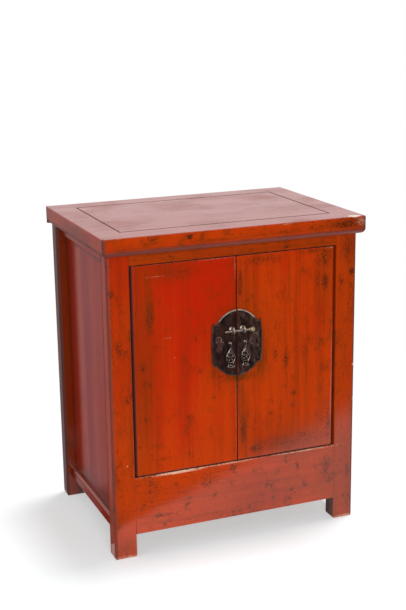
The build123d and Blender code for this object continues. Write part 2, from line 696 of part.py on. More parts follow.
for side_name, side in SIDES.items():
    # hinge stile, with both pivots turned on its rounded edge
    with BuildPart() as stile:
        with BuildSketch(Plane.XY.offset(DOOR_LOW)):
            with Locations((side * (STILE_IN + PIVOT_X) / 2, PIVOT_Y)):
                Rectangle(PIVOT_X - STILE_IN, DOOR_THICK)
            with Locations((side * PIVOT_X, PIVOT_Y)):
                Circle(DOOR_THICK / 2)
            with Locations((side * (STILE_IN + STILE_TONGUE / 2), PIVOT_Y)):
                Rectangle(STILE_TONGUE, STILE_TONGUE_THICK, mode=Mode.SUBTRACT)
        extrude(amount=DOOR_HIGH - DOOR_LOW)
        batten_housings(side)
        with BuildSketch(Plane.XY.offset(DOOR_LOW - LOWER_PIVOT)):
            with Locations((side * PIVOT_X, PIVOT_Y)):
                Circle(PIVOT_R)
        extrude(amount=LOWER_PIVOT)
        with BuildSketch(Plane.XY.offset(DOOR_HIGH)):
            with Locations((side * PIVOT_X, PIVOT_Y)):
                Circle(PIVOT_R)
        extrude(amount=UPPER_PIVOT)
    keep(stile, f"{side_name}_door_stile")

    # broad board, tongued into the stile
    with BuildPart() as door_board:
        face = (DOOR_FACE, DOOR_REAR)
        block(at_side(side, SEAM_HALF, STILE_IN), face, (DOOR_LOW, DOOR_HIGH))
        tongue = (PIVOT_Y - STILE_TONGUE_THICK / 2, PIVOT_Y + STILE_TONGUE_THICK / 2)
        block(at_side(side, STILE_IN, STILE_IN + STILE_TONGUE), tongue, (DOOR_LOW, DOOR_HIGH))
        batten_housings(side)
        metal_holes(side)
    keep(door_board, f"{side_name}_door_board")

    # two battens that slide across the back of the door in dovetailed housings
    for level, z in zip(("lower", "upper"), DOOR_BATTEN_Z):
        outer_half = DOOR_BATTEN_HALF - DOOR_BATTEN_TAPER
        with BuildPart() as batten:
            with BuildSketch(Plane.YZ.offset(side * DOOR_BATTEN_X[0])):
                with BuildLine():
                    Polyline(
                        (DOOR_REAR - DOVETAIL_DEEP, z - DOVETAIL_HALF),
                        (DOOR_REAR, z - DOVETAIL_ROOT_HALF),
                        (DOOR_REAR, z - DOOR_BATTEN_HALF),
                        (DOOR_REAR + DOOR_BATTEN_PROUD, z - outer_half),
                        (DOOR_REAR + DOOR_BATTEN_PROUD, z + outer_half),
                        (DOOR_REAR, z + DOOR_BATTEN_HALF),
                        (DOOR_REAR, z + DOVETAIL_ROOT_HALF),
                        (DOOR_REAR - DOVETAIL_DEEP, z + DOVETAIL_HALF),
                        close=True,
                    )
                make_face()
            extrude(amount=side * (DOOR_BATTEN_X[1] - DOOR_BATTEN_X[0]))
        keep(batten, f"{side_name}_door_{level}_batten")


# ---- lock plate ----
def half_plate(side, plane, inset=0):
    """One half of the lobed outline: a lobe above and below, ears between them, cut at the seam."""
    with BuildSketch(plane) as face:
        with BuildLine():
            x, z = PLATE_NOTCH_TOP
            bulge = (x * LOBE_BULGE_OUT, PLATE_TOP - (PLATE_TOP - z) * LOBE_BULGE_IN)
            ThreePointArc((0, PLATE_TOP), bulge, PLATE_NOTCH_TOP)
            Line(PLATE_NOTCH_TOP, PLATE_EAR_TOP)
            ThreePointArc(PLATE_EAR_TOP, PLATE_MIDDLE, PLATE_EAR_LOW)
            Line(PLATE_EAR_LOW, PLATE_NOTCH_LOW)
            x, z = PLATE_NOTCH_LOW
            bulge = (x * LOBE_BULGE_OUT, PLATE_FOOT + (z - PLATE_FOOT) * LOBE_BULGE_IN)
            ThreePointArc(PLATE_NOTCH_LOW, bulge, (0, PLATE_FOOT))
            mirror(about=Plane.YZ)
        make_face()
        if inset:
            offset(amount=-inset, mode=Mode.REPLACE)
        wide = 2 * PLATE_MIDDLE[0]
        with Locations((side * (PLATE_SEAM_HALF + wide / 2), (PLATE_TOP + PLATE_FOOT) / 2)):
            Rectangle(wide, PLATE_TOP, mode=Mode.INTERSECT)
    return face.sketch


for side_name, side in SIDES.items():
    # sheet metal with a raised rim and a pierced cloud by the outer edge
    with BuildPart() as plate:
        extrude(half_plate(side, Plane.XZ.offset(-DOOR_FACE)), amount=PLATE_THICK + RIM_PROUD)
        field = half_plate(side, Plane.XZ.offset(-PLATE_FACE), RIM_WIDE)
        extrude(field, amount=RIM_PROUD, mode=Mode.SUBTRACT)
        with BuildSketch(Plane.XZ.offset(-DOOR_FACE)):
            with Locations(
                (side * CLOUD_X, CLOUD_Z + CLOUD_LOBE_APART),
                (side * CLOUD_X, CLOUD_Z - CLOUD_LOBE_APART),
                (side * (CLOUD_X - CLOUD_HEAD_IN), CLOUD_Z),
            ):
                Circle(CLOUD_LOBE_R)
            with Locations((side * CLOUD_X, CLOUD_Z)):
                Rectangle(CLOUD_BODY_WIDE, 2 * CLOUD_LOBE_APART)
            with Locations((side * (CLOUD_X + CLOUD_TONGUE_OUT), CLOUD_Z)):
                SlotOverall(CLOUD_TONGUE_LONG, 2 * CLOUD_TONGUE_R, mode=Mode.SUBTRACT)
        extrude(amount=PLATE_THICK, mode=Mode.SUBTRACT)
        metal_holes(side)
    keep(plate, f"{side_name}_lock_plate")

    with BuildPart() as nails:
        for x, z in NAILS:
            block(*nail_shank(side, x, z))
            with BuildSketch(Plane.XZ.offset(-PLATE_FACE)):
                with Locations((side * x, z)):
                    RegularPolygon(NAIL_HEAD_R, NAIL_HEAD_SIDES)
            extrude(amount=NAIL_HEAD_HIGH)
        heads = nails.faces().sort_by(Axis.Y)[: len(NAILS)]
        chamfer(heads.edges(), NAIL_HEAD_CHAMFER)
    keep(nails, f"{side_name}_plate_nails")

    # ring staple: the pin goes through its ring, and its legs are clenched behind the door
    with BuildPart() as staple:
        with BuildSketch(Plane.YZ.offset(side * STAPLE_X)):
            with Locations((PIN_Y, STAPLE_Z)):
                RegularPolygon(STAPLE_R, STAPLE_SIDES)
        extrude(amount=STAPLE_WIDE / 2, both=True)
        cheeks = staple.faces().sort_by(Axis.X)
        chamfer(cheeks[0].edges() + cheeks[-1].edges(), STAPLE_CHAMFER)
        with BuildSketch(Plane.XZ.offset(-PLATE_FACE)):
            with Locations((side * STAPLE_X, STAPLE_Z)):
                RegularPolygon(BOSS_R, BOSS_SIDES)
        extrude(amount=BOSS_HIGH, taper=BOSS_TAPER)
        with BuildSketch(Plane.YZ.offset(side * STAPLE_X)):
            with Locations((PIN_Y, STAPLE_Z)):
                Circle(STAPLE_BORE_R)
        extrude(amount=STAPLE_WIDE, both=True, mode=Mode.SUBTRACT)
        block(*staple_legs(side))
        x, _, _ = staple_legs(side)
        clench = (DOOR_REAR, DOOR_REAR + CLENCH_THICK)
        block(x, clench, (STAPLE_Z - CLENCH_HALF, STAPLE_Z + CLENCH_HALF))
    keep(staple, f"{side_name}_staple")

    # loop that carries the pendant
    with BuildPart() as loop:
        with BuildSketch(Plane.YZ.offset(side * PENDANT_X)):
            with Locations((LOOP_Y, LOOP_Z)):
                RegularPolygon(LOOP_R, LOOP_SIDES)
                RegularPolygon(LOOP_BORE_R, LOOP_SIDES, mode=Mode.SUBTRACT)
        extrude(amount=LOOP_WIDE / 2, both=True)
        x, y, z = loop_shank(side)
        block(x, (LOOP_Y + (LOOP_R + LOOP_BORE_R) / 2, y[1]), z)
        clench = (DOOR_REAR, DOOR_REAR + CLENCH_THICK)
        block(x, clench, (LOOP_Z - CLENCH_HALF / 2, LOOP_Z + CLENCH_HALF / 2))
    keep(loop, f"{side_name}_pendant_loop")

    # drop pendant: an openwork vase, cast flat, with an eye that hangs in the loop
    with BuildPart() as pendant:
        plane = Plane((side * PENDANT_X, LOOP_Y, 0), x_dir=(1, 0, 0), z_dir=(0, -1, 0))
        with BuildSketch(plane):
            with BuildLine():
                neck = Line((0, EYE_Z - NECK_START), (NECK_HALF, EYE_Z - NECK_START))
                body = Spline(
                    neck @ 1,
                    (NECK_HALF, VASE_SHOULDER),
                    (VASE_HALF, VASE_BELLY),
                    (VASE_WAIST_HALF, VASE_WAIST),
                    tangents=((0, -1), (0, -1)),
                )
                flare = Line(body @ 1, (VASE_FOOT_HALF, VASE_FOOT + VASE_FOOT_RIM))
                sole = (VASE_FOOT_HALF * LOBE_BULGE_OUT, VASE_FOOT + VASE_FOOT_ARCH)
                ThreePointArc(flare @ 1, sole, (0, VASE_FOOT))
                mirror(about=Plane.YZ)
            make_face()
            with Locations((0, EYE_Z)):
                Circle(PENDANT_EYE_R)
                Circle(PENDANT_EYE_BORE_R, mode=Mode.SUBTRACT)
            with Locations((0, VASE_BELLY)):
                RegularPolygon(VASE_DIAMOND_R, 4, rotation=45, mode=Mode.SUBTRACT)
            for x, z, radius in VASE_HOLES:
                with Locations((-x, z), (x, z)):
                    RegularPolygon(radius, VASE_HOLE_SIDES, mode=Mode.SUBTRACT)
        extrude(amount=PENDANT_THICK / 2, both=True)
    keep(pendant, f"{side_name}_pendant")


# ---- sliding pin: a rod with a beaded tail and a collar, and a faceted knob riveted on ----
KNOB_START = PIN_COLLAR[1]
KNOB_END = KNOB_START + KNOB_LONG
PIN_AXIS = Axis((0, PIN_Y, PIN_Z), (1, 0, 0))

with BuildPart() as lock_pin:
    with BuildSketch(Plane((0, PIN_Y, PIN_Z), x_dir=(1, 0, 0), z_dir=(0, -1, 0))):
        with BuildLine():
            Polyline(
                (PIN_TAIL, 0),
                (PIN_TAIL, PIN_TIP_R),
                (PIN_TAIL + PIN_TIP_LONG, PIN_R),
                (PIN_NECK[0] - PIN_NECK_TAPER, PIN_R),
                (PIN_NECK[0], PIN_NECK_R),
                (PIN_NECK[1], PIN_NECK_R),
                (PIN_NECK[1] + PIN_NECK_TAPER, PIN_R),
                (PIN_COLLAR[0], PIN_R),
                (PIN_COLLAR[0], PIN_COLLAR_R),
                (PIN_COLLAR[1], PIN_COLLAR_R),
                (KNOB_START, RIVET_R),
                (KNOB_END + RIVET_PROUD, RIVET_R),
                (KNOB_END + RIVET_PROUD, 0),
                close=True,
            )
        make_face()
    revolve(axis=PIN_AXIS)
keep(lock_pin, "lock_pin")

with BuildPart() as knob:
    with BuildSketch(Plane((KNOB_START, PIN_Y, PIN_Z), x_dir=(0, 1, 0), z_dir=(1, 0, 0))):
        RegularPolygon(KNOB_R, KNOB_FLATS)
    extrude(amount=KNOB_LONG)
    ends = knob.faces().sort_by(Axis.X)
    chamfer(ends[0].edges() + ends[-1].edges(), KNOB_CHAMFER)
    with BuildSketch(Plane((KNOB_START, PIN_Y, PIN_Z), x_dir=(0, 1, 0), z_dir=(1, 0, 0))):
        Circle(RIVET_R)
    extrude(amount=KNOB_LONG, mode=Mode.SUBTRACT)
keep(knob, "lock_pin_knob")
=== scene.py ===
from math import radians

import bmesh
import bpy
from mathutils import Matrix, Quaternion, Vector


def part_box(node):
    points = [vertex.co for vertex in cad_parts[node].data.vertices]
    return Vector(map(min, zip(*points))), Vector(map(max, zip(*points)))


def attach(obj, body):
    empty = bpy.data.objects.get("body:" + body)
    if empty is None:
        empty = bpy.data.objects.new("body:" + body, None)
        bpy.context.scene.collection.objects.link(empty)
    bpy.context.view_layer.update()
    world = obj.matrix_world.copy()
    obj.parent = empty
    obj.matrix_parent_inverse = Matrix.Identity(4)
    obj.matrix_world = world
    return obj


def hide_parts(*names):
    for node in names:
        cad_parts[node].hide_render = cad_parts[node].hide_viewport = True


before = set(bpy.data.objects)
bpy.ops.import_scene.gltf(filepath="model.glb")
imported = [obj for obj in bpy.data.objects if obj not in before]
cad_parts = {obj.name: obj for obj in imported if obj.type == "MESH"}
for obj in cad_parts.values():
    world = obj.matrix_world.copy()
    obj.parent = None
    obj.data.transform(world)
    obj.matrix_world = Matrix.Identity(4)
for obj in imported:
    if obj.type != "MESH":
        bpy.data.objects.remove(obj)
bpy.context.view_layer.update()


# ---- the studio ----
# White paper lies under the cabinet and fades into a white room. Two soft lamps and light from a
# high window light it, and the cloths and screens round it are only mirrored in the lacquer.
class Wire:
    """A socket of a finish. Sums and products of wires and numbers add Math nodes, | takes the
    larger of two and & the smaller."""

    def __init__(self, finish, socket):
        self.finish = finish
        self.socket = socket

    def maths(self, operation, *values):
        """Adds one Math node for an operation on wires or numbers."""
        return self.finish.node("ShaderNodeMath", {"operation": operation}, dict(enumerate(values)))

    def __add__(self, other):
        return self.maths("ADD", self, other)

    def __sub__(self, other):
        return self.maths("SUBTRACT", self, other)

    def __rsub__(self, other):
        return self.maths("SUBTRACT", other, self)

    def __mul__(self, other):
        return self.maths("MULTIPLY", self, other)

    def __or__(self, other):
        return self.maths("MAXIMUM", self, other)

    def __and__(self, other):
        return self.maths("MINIMUM", self, other)

    def __abs__(self):
        return self.maths("ABSOLUTE", self)

    __radd__ = __add__


class Finish:
    """The node tree of a material or of the world. Places are Object coordinates, in metres."""

    def __init__(self, owner, name):
        self.owner = owner.new(name)
        self.owner.use_nodes = True
        self.tree = self.owner.node_tree

    def node(self, kind, settings=None, inputs=None, output=0):
        """Adds a node: its settings first, then the values or wires of its sockets."""
        made = self.tree.nodes.new(kind)
        for key, value in (settings or {}).items():
            setattr(made, key, value)
        for key, value in (inputs or {}).items():
            self.feed(made.inputs[key], value)
        return Wire(self, made.outputs[output]) if len(made.outputs) else None

    def feed(self, socket, value):
        """Links a wire to a socket, or sets the socket's own value."""
        if isinstance(value, Wire):
            self.tree.links.new(value.socket, socket)
        else:
            socket.default_value = value

    def shade(self, **sockets):
        """Sets sockets of the Principled shader, named with _ for each space."""
        shader = self.tree.nodes["Principled BSDF"]
        for key, value in sockets.items():
            self.feed(shader.inputs[key.replace("_", " ")], value)

    def between(self, value, low, high, start=0.0, end=1.0):
        """A smooth step from start to end as value goes from low to high."""
        settings = {"interpolation_type": "SMOOTHSTEP"}
        inputs = {"Value": value, "From Min": low, "From Max": high, "To Min": start, "To Max": end}
        return self.node("ShaderNodeMapRange", settings, inputs)

    def mix(self, factor, first, second):
        """A colour between two colours."""
        inputs = {0: factor, 6: first, 7: second}
        return self.node("ShaderNodeMix", {"data_type": "RGBA"}, inputs, 2)

    def number(self, value):
        """A wire that carries the same number everywhere."""
        return self.node("ShaderNodeMath", {"operation": "ADD"}, {0: value, 1: 0.0})

    def place(self):
        """The point on the surface, in metres in the cabinet's frame."""
        return self.node("ShaderNodeTexCoord", output="Object")

    def axis(self, index):
        """The X, Y or Z of the point on the surface, for 0, 1 or 2."""
        return self.node("ShaderNodeSeparateXYZ", None, {0: self.place()}, index)

    def scaled(self, scale, shift):
        """The point on the surface times scale plus shift, along X, Y and Z."""
        inputs = {0: self.place(), 1: scale, 2: shift}
        return self.node("ShaderNodeVectorMath", {"operation": "MULTIPLY_ADD"}, inputs)

    def length(self, vector):
        """How long a vector is."""
        return self.node("ShaderNodeVectorMath", {"operation": "LENGTH"}, {0: vector}, "Value")

    def bump(self, strength, distance, height):
        """A normal that shows height as a relief of that distance, in metres."""
        inputs = {"Strength": strength, "Distance": distance, "Height": height}
        return self.node("ShaderNodeBump", None, inputs)

    def noise(self, per_metre, seed, detail, roughness=0.5):
        """Cloudy noise from 0 to 1, with so many lumps per metre along X, Y and Z."""
        at = self.scaled(per_metre, (seed, seed, seed))
        inputs = {"Vector": at, "Scale": 1.0, "Detail": detail, "Roughness": roughness}
        return self.node("ShaderNodeTexNoise", None, inputs)


def srgb(red, green, blue):
    """A colour as a shader takes it, from the three values of a paint chip, 0 to 255. The numbers
    in it are those of the sRGB standard."""
    values = [channel / 255 for channel in (red, green, blue)]
    return (*[v / 12.92 if v <= 0.04045 else ((v + 0.055) / 1.055) ** 2.4 for v in values], 1.0)


SIDES = {"left": -1, "right": 1}
X, Y, Z = Vector((1, 0, 0)), Vector((0, 1, 0)), Vector((0, 0, 1))
WHITE = (1, 1, 1, 1)
BLACK = (0, 0, 0, 1)
PAPER_COLOUR = srgb(214, 219, 221)
PAPER_GLOW = 0.39
PAPER_FADE = (0.85, 1.8)
AMBIENT = 0.33
CLOTH_COLOUR = srgb(12, 12, 14)
GREY_CLOTH_NEAR = srgb(148, 146, 152)
GREY_CLOTH_FAR = srgb(168, 164, 169)
GREY_CLOTH_SHADE = (0.4, 2.8)
BROWN_CLOTH_COLOUR = srgb(84, 64, 60)
CLOTH_LIFT = 0.002
FAR = 6.0
SCREEN_HIGH = 2.2
DARK_CLOTH = [(-0.75, -0.15), (-FAR, -0.15), (-FAR, -FAR), (FAR, -FAR), (FAR, -0.30), (2.20, -0.80),
              (1.60, -1.45)]
GREY_CLOTH = [(-0.35, -0.14), (-0.35, FAR), (-FAR, FAR), (-FAR, -0.14)]
BROWN_CLOTH = [(-0.345, -0.17), (-0.345, -0.03), (-1.56, 3.97), (-1.56, 3.83)]
# Each lamp's place, its width and its power in watts.
LAMPS = {
    "key_lamp": ((-1.3, -3.95, 1.25), 1.6, 95.0),
    "fill_lamp": ((-3.2, -1.6, 2.0), 2.0, 13.0),
}
LAMP_AIM = Vector((0.0, 0.0, 0.35))
WINDOW_FROM = Vector((0.19, 0.07, 0.97))
WINDOW_LIGHT = 1.7
WINDOW_WIDE = radians(14)
CAMERA_AIM = Vector((0.0204, 0.0457, 0.5752))
CAMERA_AZIMUTH = radians(-21.96)
CAMERA_ELEVATION = radians(14.86)
CAMERA_DISTANCE = 3.368
CAMERA_ROLL = radians(-0.82)
CAMERA_LENS = 71.6

scene = bpy.context.scene
scene.view_settings.view_transform = "Standard"


def seen_directly(finish):
    """1 for a ray from the camera, a mirror or glass, and 0 for one that only carries light."""
    seen = [finish.node("ShaderNodeLightPath", output=ray) for ray in
            ("Is Camera Ray", "Is Glossy Ray", "Is Transmission Ray")]
    return seen[0] | seen[1] | seen[2]


studio = Finish(bpy.data.worlds, "studio")
studio.tree.nodes.clear()
white_room = studio.node("ShaderNodeBackground", None, {"Color": WHITE, "Strength": 1.0})
dim_room = studio.node("ShaderNodeBackground", None, {"Color": WHITE, "Strength": AMBIENT})
room = studio.node("ShaderNodeMixShader", None, {0: seen_directly(studio), 1: dim_room, 2: white_room})
studio.node("ShaderNodeOutputWorld", None, {"Surface": room})
scene.world = studio.owner


def laid(corners, height):
    """The corners of a sheet that lies flat, so high above the floor."""
    return [(x, y, height) for x, y in corners]


def standing(start, end):
    """The corners of a screen that stands along a line on the floor."""
    return [(*start, 0), (*end, 0), (*end, SCREEN_HIGH), (*start, SCREEN_HIGH)]


def flat_sheet(name, corners, finish):
    """One flat sheet of the studio, which is no part of the cabinet."""
    mesh = bpy.data.meshes.new(name)
    mesh.from_pydata(corners, [], [tuple(range(len(corners)))])
    mesh.materials.append(finish.owner)
    sheet = bpy.data.objects.new(name, mesh)
    scene.collection.objects.link(sheet)
    return sheet


paper = Finish(bpy.data.materials, "studio_paper")
paper.shade(Base_Color=PAPER_COLOUR, Roughness=0.9, Specular_IOR_Level=0.1)
glow = seen_directly(paper) * PAPER_GLOW
paper.shade(Emission_Color=paper.mix(glow, BLACK, WHITE), Emission_Strength=1.0)
paper.shade(Alpha=paper.between(paper.length(paper.place()), *PAPER_FADE, 1.0, 0.0))
half = PAPER_FADE[1]
flat_sheet("studio_floor", laid([(-half, -half), (half, -half), (half, half), (-half, half)], 0), paper)


def matt(name, colour):
    """The finish of a cloth that mirrors nothing."""
    finish = Finish(bpy.data.materials, name)
    finish.shade(Base_Color=colour, Roughness=1.0, Specular_IOR_Level=0.0)
    return finish


cloth = matt("dark_cloth", CLOTH_COLOUR)
# The grey cloth is painted shade: it stands for the floor in the cabinet's shadow as the lacquer mirrors
# it, darker near the cabinet.
shaded_floor_cloth = matt("grey_cloth", GREY_CLOTH_NEAR)
away = shaded_floor_cloth.between(shaded_floor_cloth.axis(1), *GREY_CLOTH_SHADE)
shaded_floor_cloth.shade(Base_Color=shaded_floor_cloth.mix(away, GREY_CLOTH_NEAR, GREY_CLOTH_FAR))
brown = matt("brown_cloth", BROWN_CLOTH_COLOUR)
only_mirrored = [
    ("dark_cloth", laid(DARK_CLOTH, CLOTH_LIFT), cloth),
    ("dark_screen", standing((-FAR, -FAR), (FAR, -FAR)), cloth),
    ("dark_side_screen", standing((FAR, -FAR), (FAR, 0)), cloth),
    ("grey_cloth", laid(GREY_CLOTH, CLOTH_LIFT), shaded_floor_cloth),
    ("brown_cloth", laid(BROWN_CLOTH, CLOTH_LIFT * 2), brown),
]
for name, corners, finish in only_mirrored:
    sheet = flat_sheet(name, corners, finish)
    sheet.visible_camera = False
    sheet.visible_diffuse = False
    sheet.visible_shadow = False

for name, (spot, size, power) in LAMPS.items():
    lamp = bpy.data.lights.new(name, "AREA")
    lamp.size = size
    lamp.energy = power
    holder = bpy.data.objects.new(name, lamp)
    holder.location = spot
    holder.rotation_euler = (Vector(spot) - LAMP_AIM).to_track_quat("Z", "Y").to_euler()
    scene.collection.objects.link(holder)

window = bpy.data.lights.new("window", "SUN")
window.energy = WINDOW_LIGHT
window.angle = WINDOW_WIDE
holder = bpy.data.objects.new("window", window)
holder.rotation_euler = WINDOW_FROM.to_track_quat("Z", "Y").to_euler()
scene.collection.objects.link(holder)

turn = Matrix.Rotation(CAMERA_AZIMUTH, 4, "Z") @ Matrix.Rotation(-CAMERA_ELEVATION, 4, "X")
back = turn @ Vector((0.0, -1.0, 0.0))
camera = bpy.data.objects.new("camera", bpy.data.cameras.new("camera"))
camera.data.lens = CAMERA_LENS
camera.location = CAMERA_AIM + CAMERA_DISTANCE * back
camera.rotation_mode = "QUATERNION"
facing = (-back).to_track_quat("-Z", "Y")
camera.rotation_quaternion = facing @ Quaternion((0, 0, 1), CAMERA_ROLL)
scene.collection.objects.link(camera)
scene.camera = camera


# ---- the lacquered frame ----
# Posts, rails and apron of hardwood under red lacquer, joined with mortise and tenon. The lacquer
# is brushed along the grain, worn to the ground coat at arrises and specked with dark bruises.
VERMILION = srgb(194, 32, 3)
ORANGE = srgb(198, 60, 4)
OLIVE = srgb(112, 50, 8)
BRUISE = srgb(44, 18, 8)
SMEAR = srgb(92, 38, 12)
SHADED_LIP_MAROON = srgb(104, 44, 34)
PURPLE = srgb(112, 46, 24)
RUBBED = srgb(226, 180, 148)
INNER_WOOD = srgb(104, 62, 38)
INNER_SHADE = srgb(62, 34, 22)
# The dark of dirt, used too for painted shade.
DIRT_AND_SHADE = srgb(34, 16, 11)
# Which way the grain runs: a noise changes slowly along it and at its full pace across it.
UPRIGHT = (1.0, 1.0, 0.03)
LYING = (0.03, 1.0, 1.0)
DEEPWISE = (1.0, 0.03, 1.0)
# Lumps per metre of the noises in the lacquer, from the broadest to the finest.
CLOUDS = (5.0, 5.0, 3.5)
BROAD_MARKS = 34.0
BLOTS = (38.0, 38.0, 24.0)
MOTTLES = 150.0
BRUSH_MARKS = 190.0
FLECKS = 460.0
GRIT = (900.0, 900.0, 900.0)
# The heights between which the red changes, then the widths of rubbed and of rounded edges and how
# far out from the middle the dark and the rounded ones stand.
RED_HEIGHTS = (0.1, 0.8)
RUB_WIDE = 0.0030
ROUNDED_WIDE = 0.010
OUTER_ARRIS = (0.320, 0.335)
ROUNDED_OUT = (0.325, 0.331)
# How a mark fades, in half widths from its centre, and how soft a box's edge is.
MARK_FADE = (0.15, 1.45)
BOX_EDGE = 0.0008
FINE_ARRIS = 0.0004
ARRIS_ANGLE = radians(40)
WELD_GAP = 0.00002
# What faces the inside of this box was never lacquered.
INSIDE = ((-0.3095, -0.2122, 0.0), (0.3095, 0.2325, 0.8345))
# Boxes darkened to the colour of dirt: two corners of a box, the width of its soft edge, and strength.
# The first are painted shade, with some dirt, in gaps and under the overhang, and are dull; the second
# are painted shade in recesses by rails and posts, and shine as the lacquer does.
SHADED_GAPS_AND_DIRT = [
    # Painted shade in the door gaps, then at their top and bottom.
    ((-0.2868, -0.2319, 0.2182), (0.2853, -0.2116, 0.7758), 0.0008, 0.85),
    ((-0.2868, -0.2336, 0.7716), (0.2853, -0.2290, 0.7758), 0.0006, 0.90),
    ((-0.2868, -0.2336, 0.2195), (0.2853, -0.2290, 0.2234), 0.0006, 0.90),
    # Darker lacquer under the lock plate, seen through its clouds.
    ((-0.0660, -0.2340, 0.5000), (0.0660, -0.2300, 0.5900), 0.0008, 0.88),
    # Painted shadow under the top's overhang.
    ((-0.3450, -0.2360, 0.8000), (0.3450, -0.2290, 0.8140), 0.0030, 0.85),
    # Painted shade on the left door's hinge arris.
    ((-0.2868, -0.2336, 0.2182), (-0.2816, -0.2290, 0.7758), 0.0006, 0.75),
    # Painted shade on the inner faces of the feet.
    ((0.2800, -0.2330, -0.0100), (0.2890, -0.1880, 0.0640), 0.0020, 0.80),
    ((-0.2890, -0.2330, -0.0100), (-0.2800, -0.1880, 0.0640), 0.0020, 0.80),
]
RECESS_SHADES = [
    # Painted shade on the side panels by the back posts, under the side top rails and over the bottom
    # rails, and on the back posts.
    ((-0.3440, 0.1300, 0.0700), (-0.2900, 0.2150, 0.8000), 0.0180, 0.26),
    ((0.2900, 0.1300, 0.0700), (0.3440, 0.2150, 0.8000), 0.0180, 0.26),
    ((-0.3300, -0.2000, 0.7550), (-0.3000, 0.2150, 0.7760), 0.0100, 0.45),
    ((-0.3250, -0.2000, 0.0860), (-0.3000, 0.2150, 0.1060), 0.0070, 0.60),
    ((0.3000, -0.2000, 0.0860), (0.3250, 0.2150, 0.1060), 0.0070, 0.60),
    ((-0.3600, 0.1800, -0.0100), (-0.3000, 0.2600, 0.8000), 0.0060, 0.58),
    ((0.3000, 0.1800, -0.0100), (0.3600, 0.2600, 0.8000), 0.0060, 0.58),
]
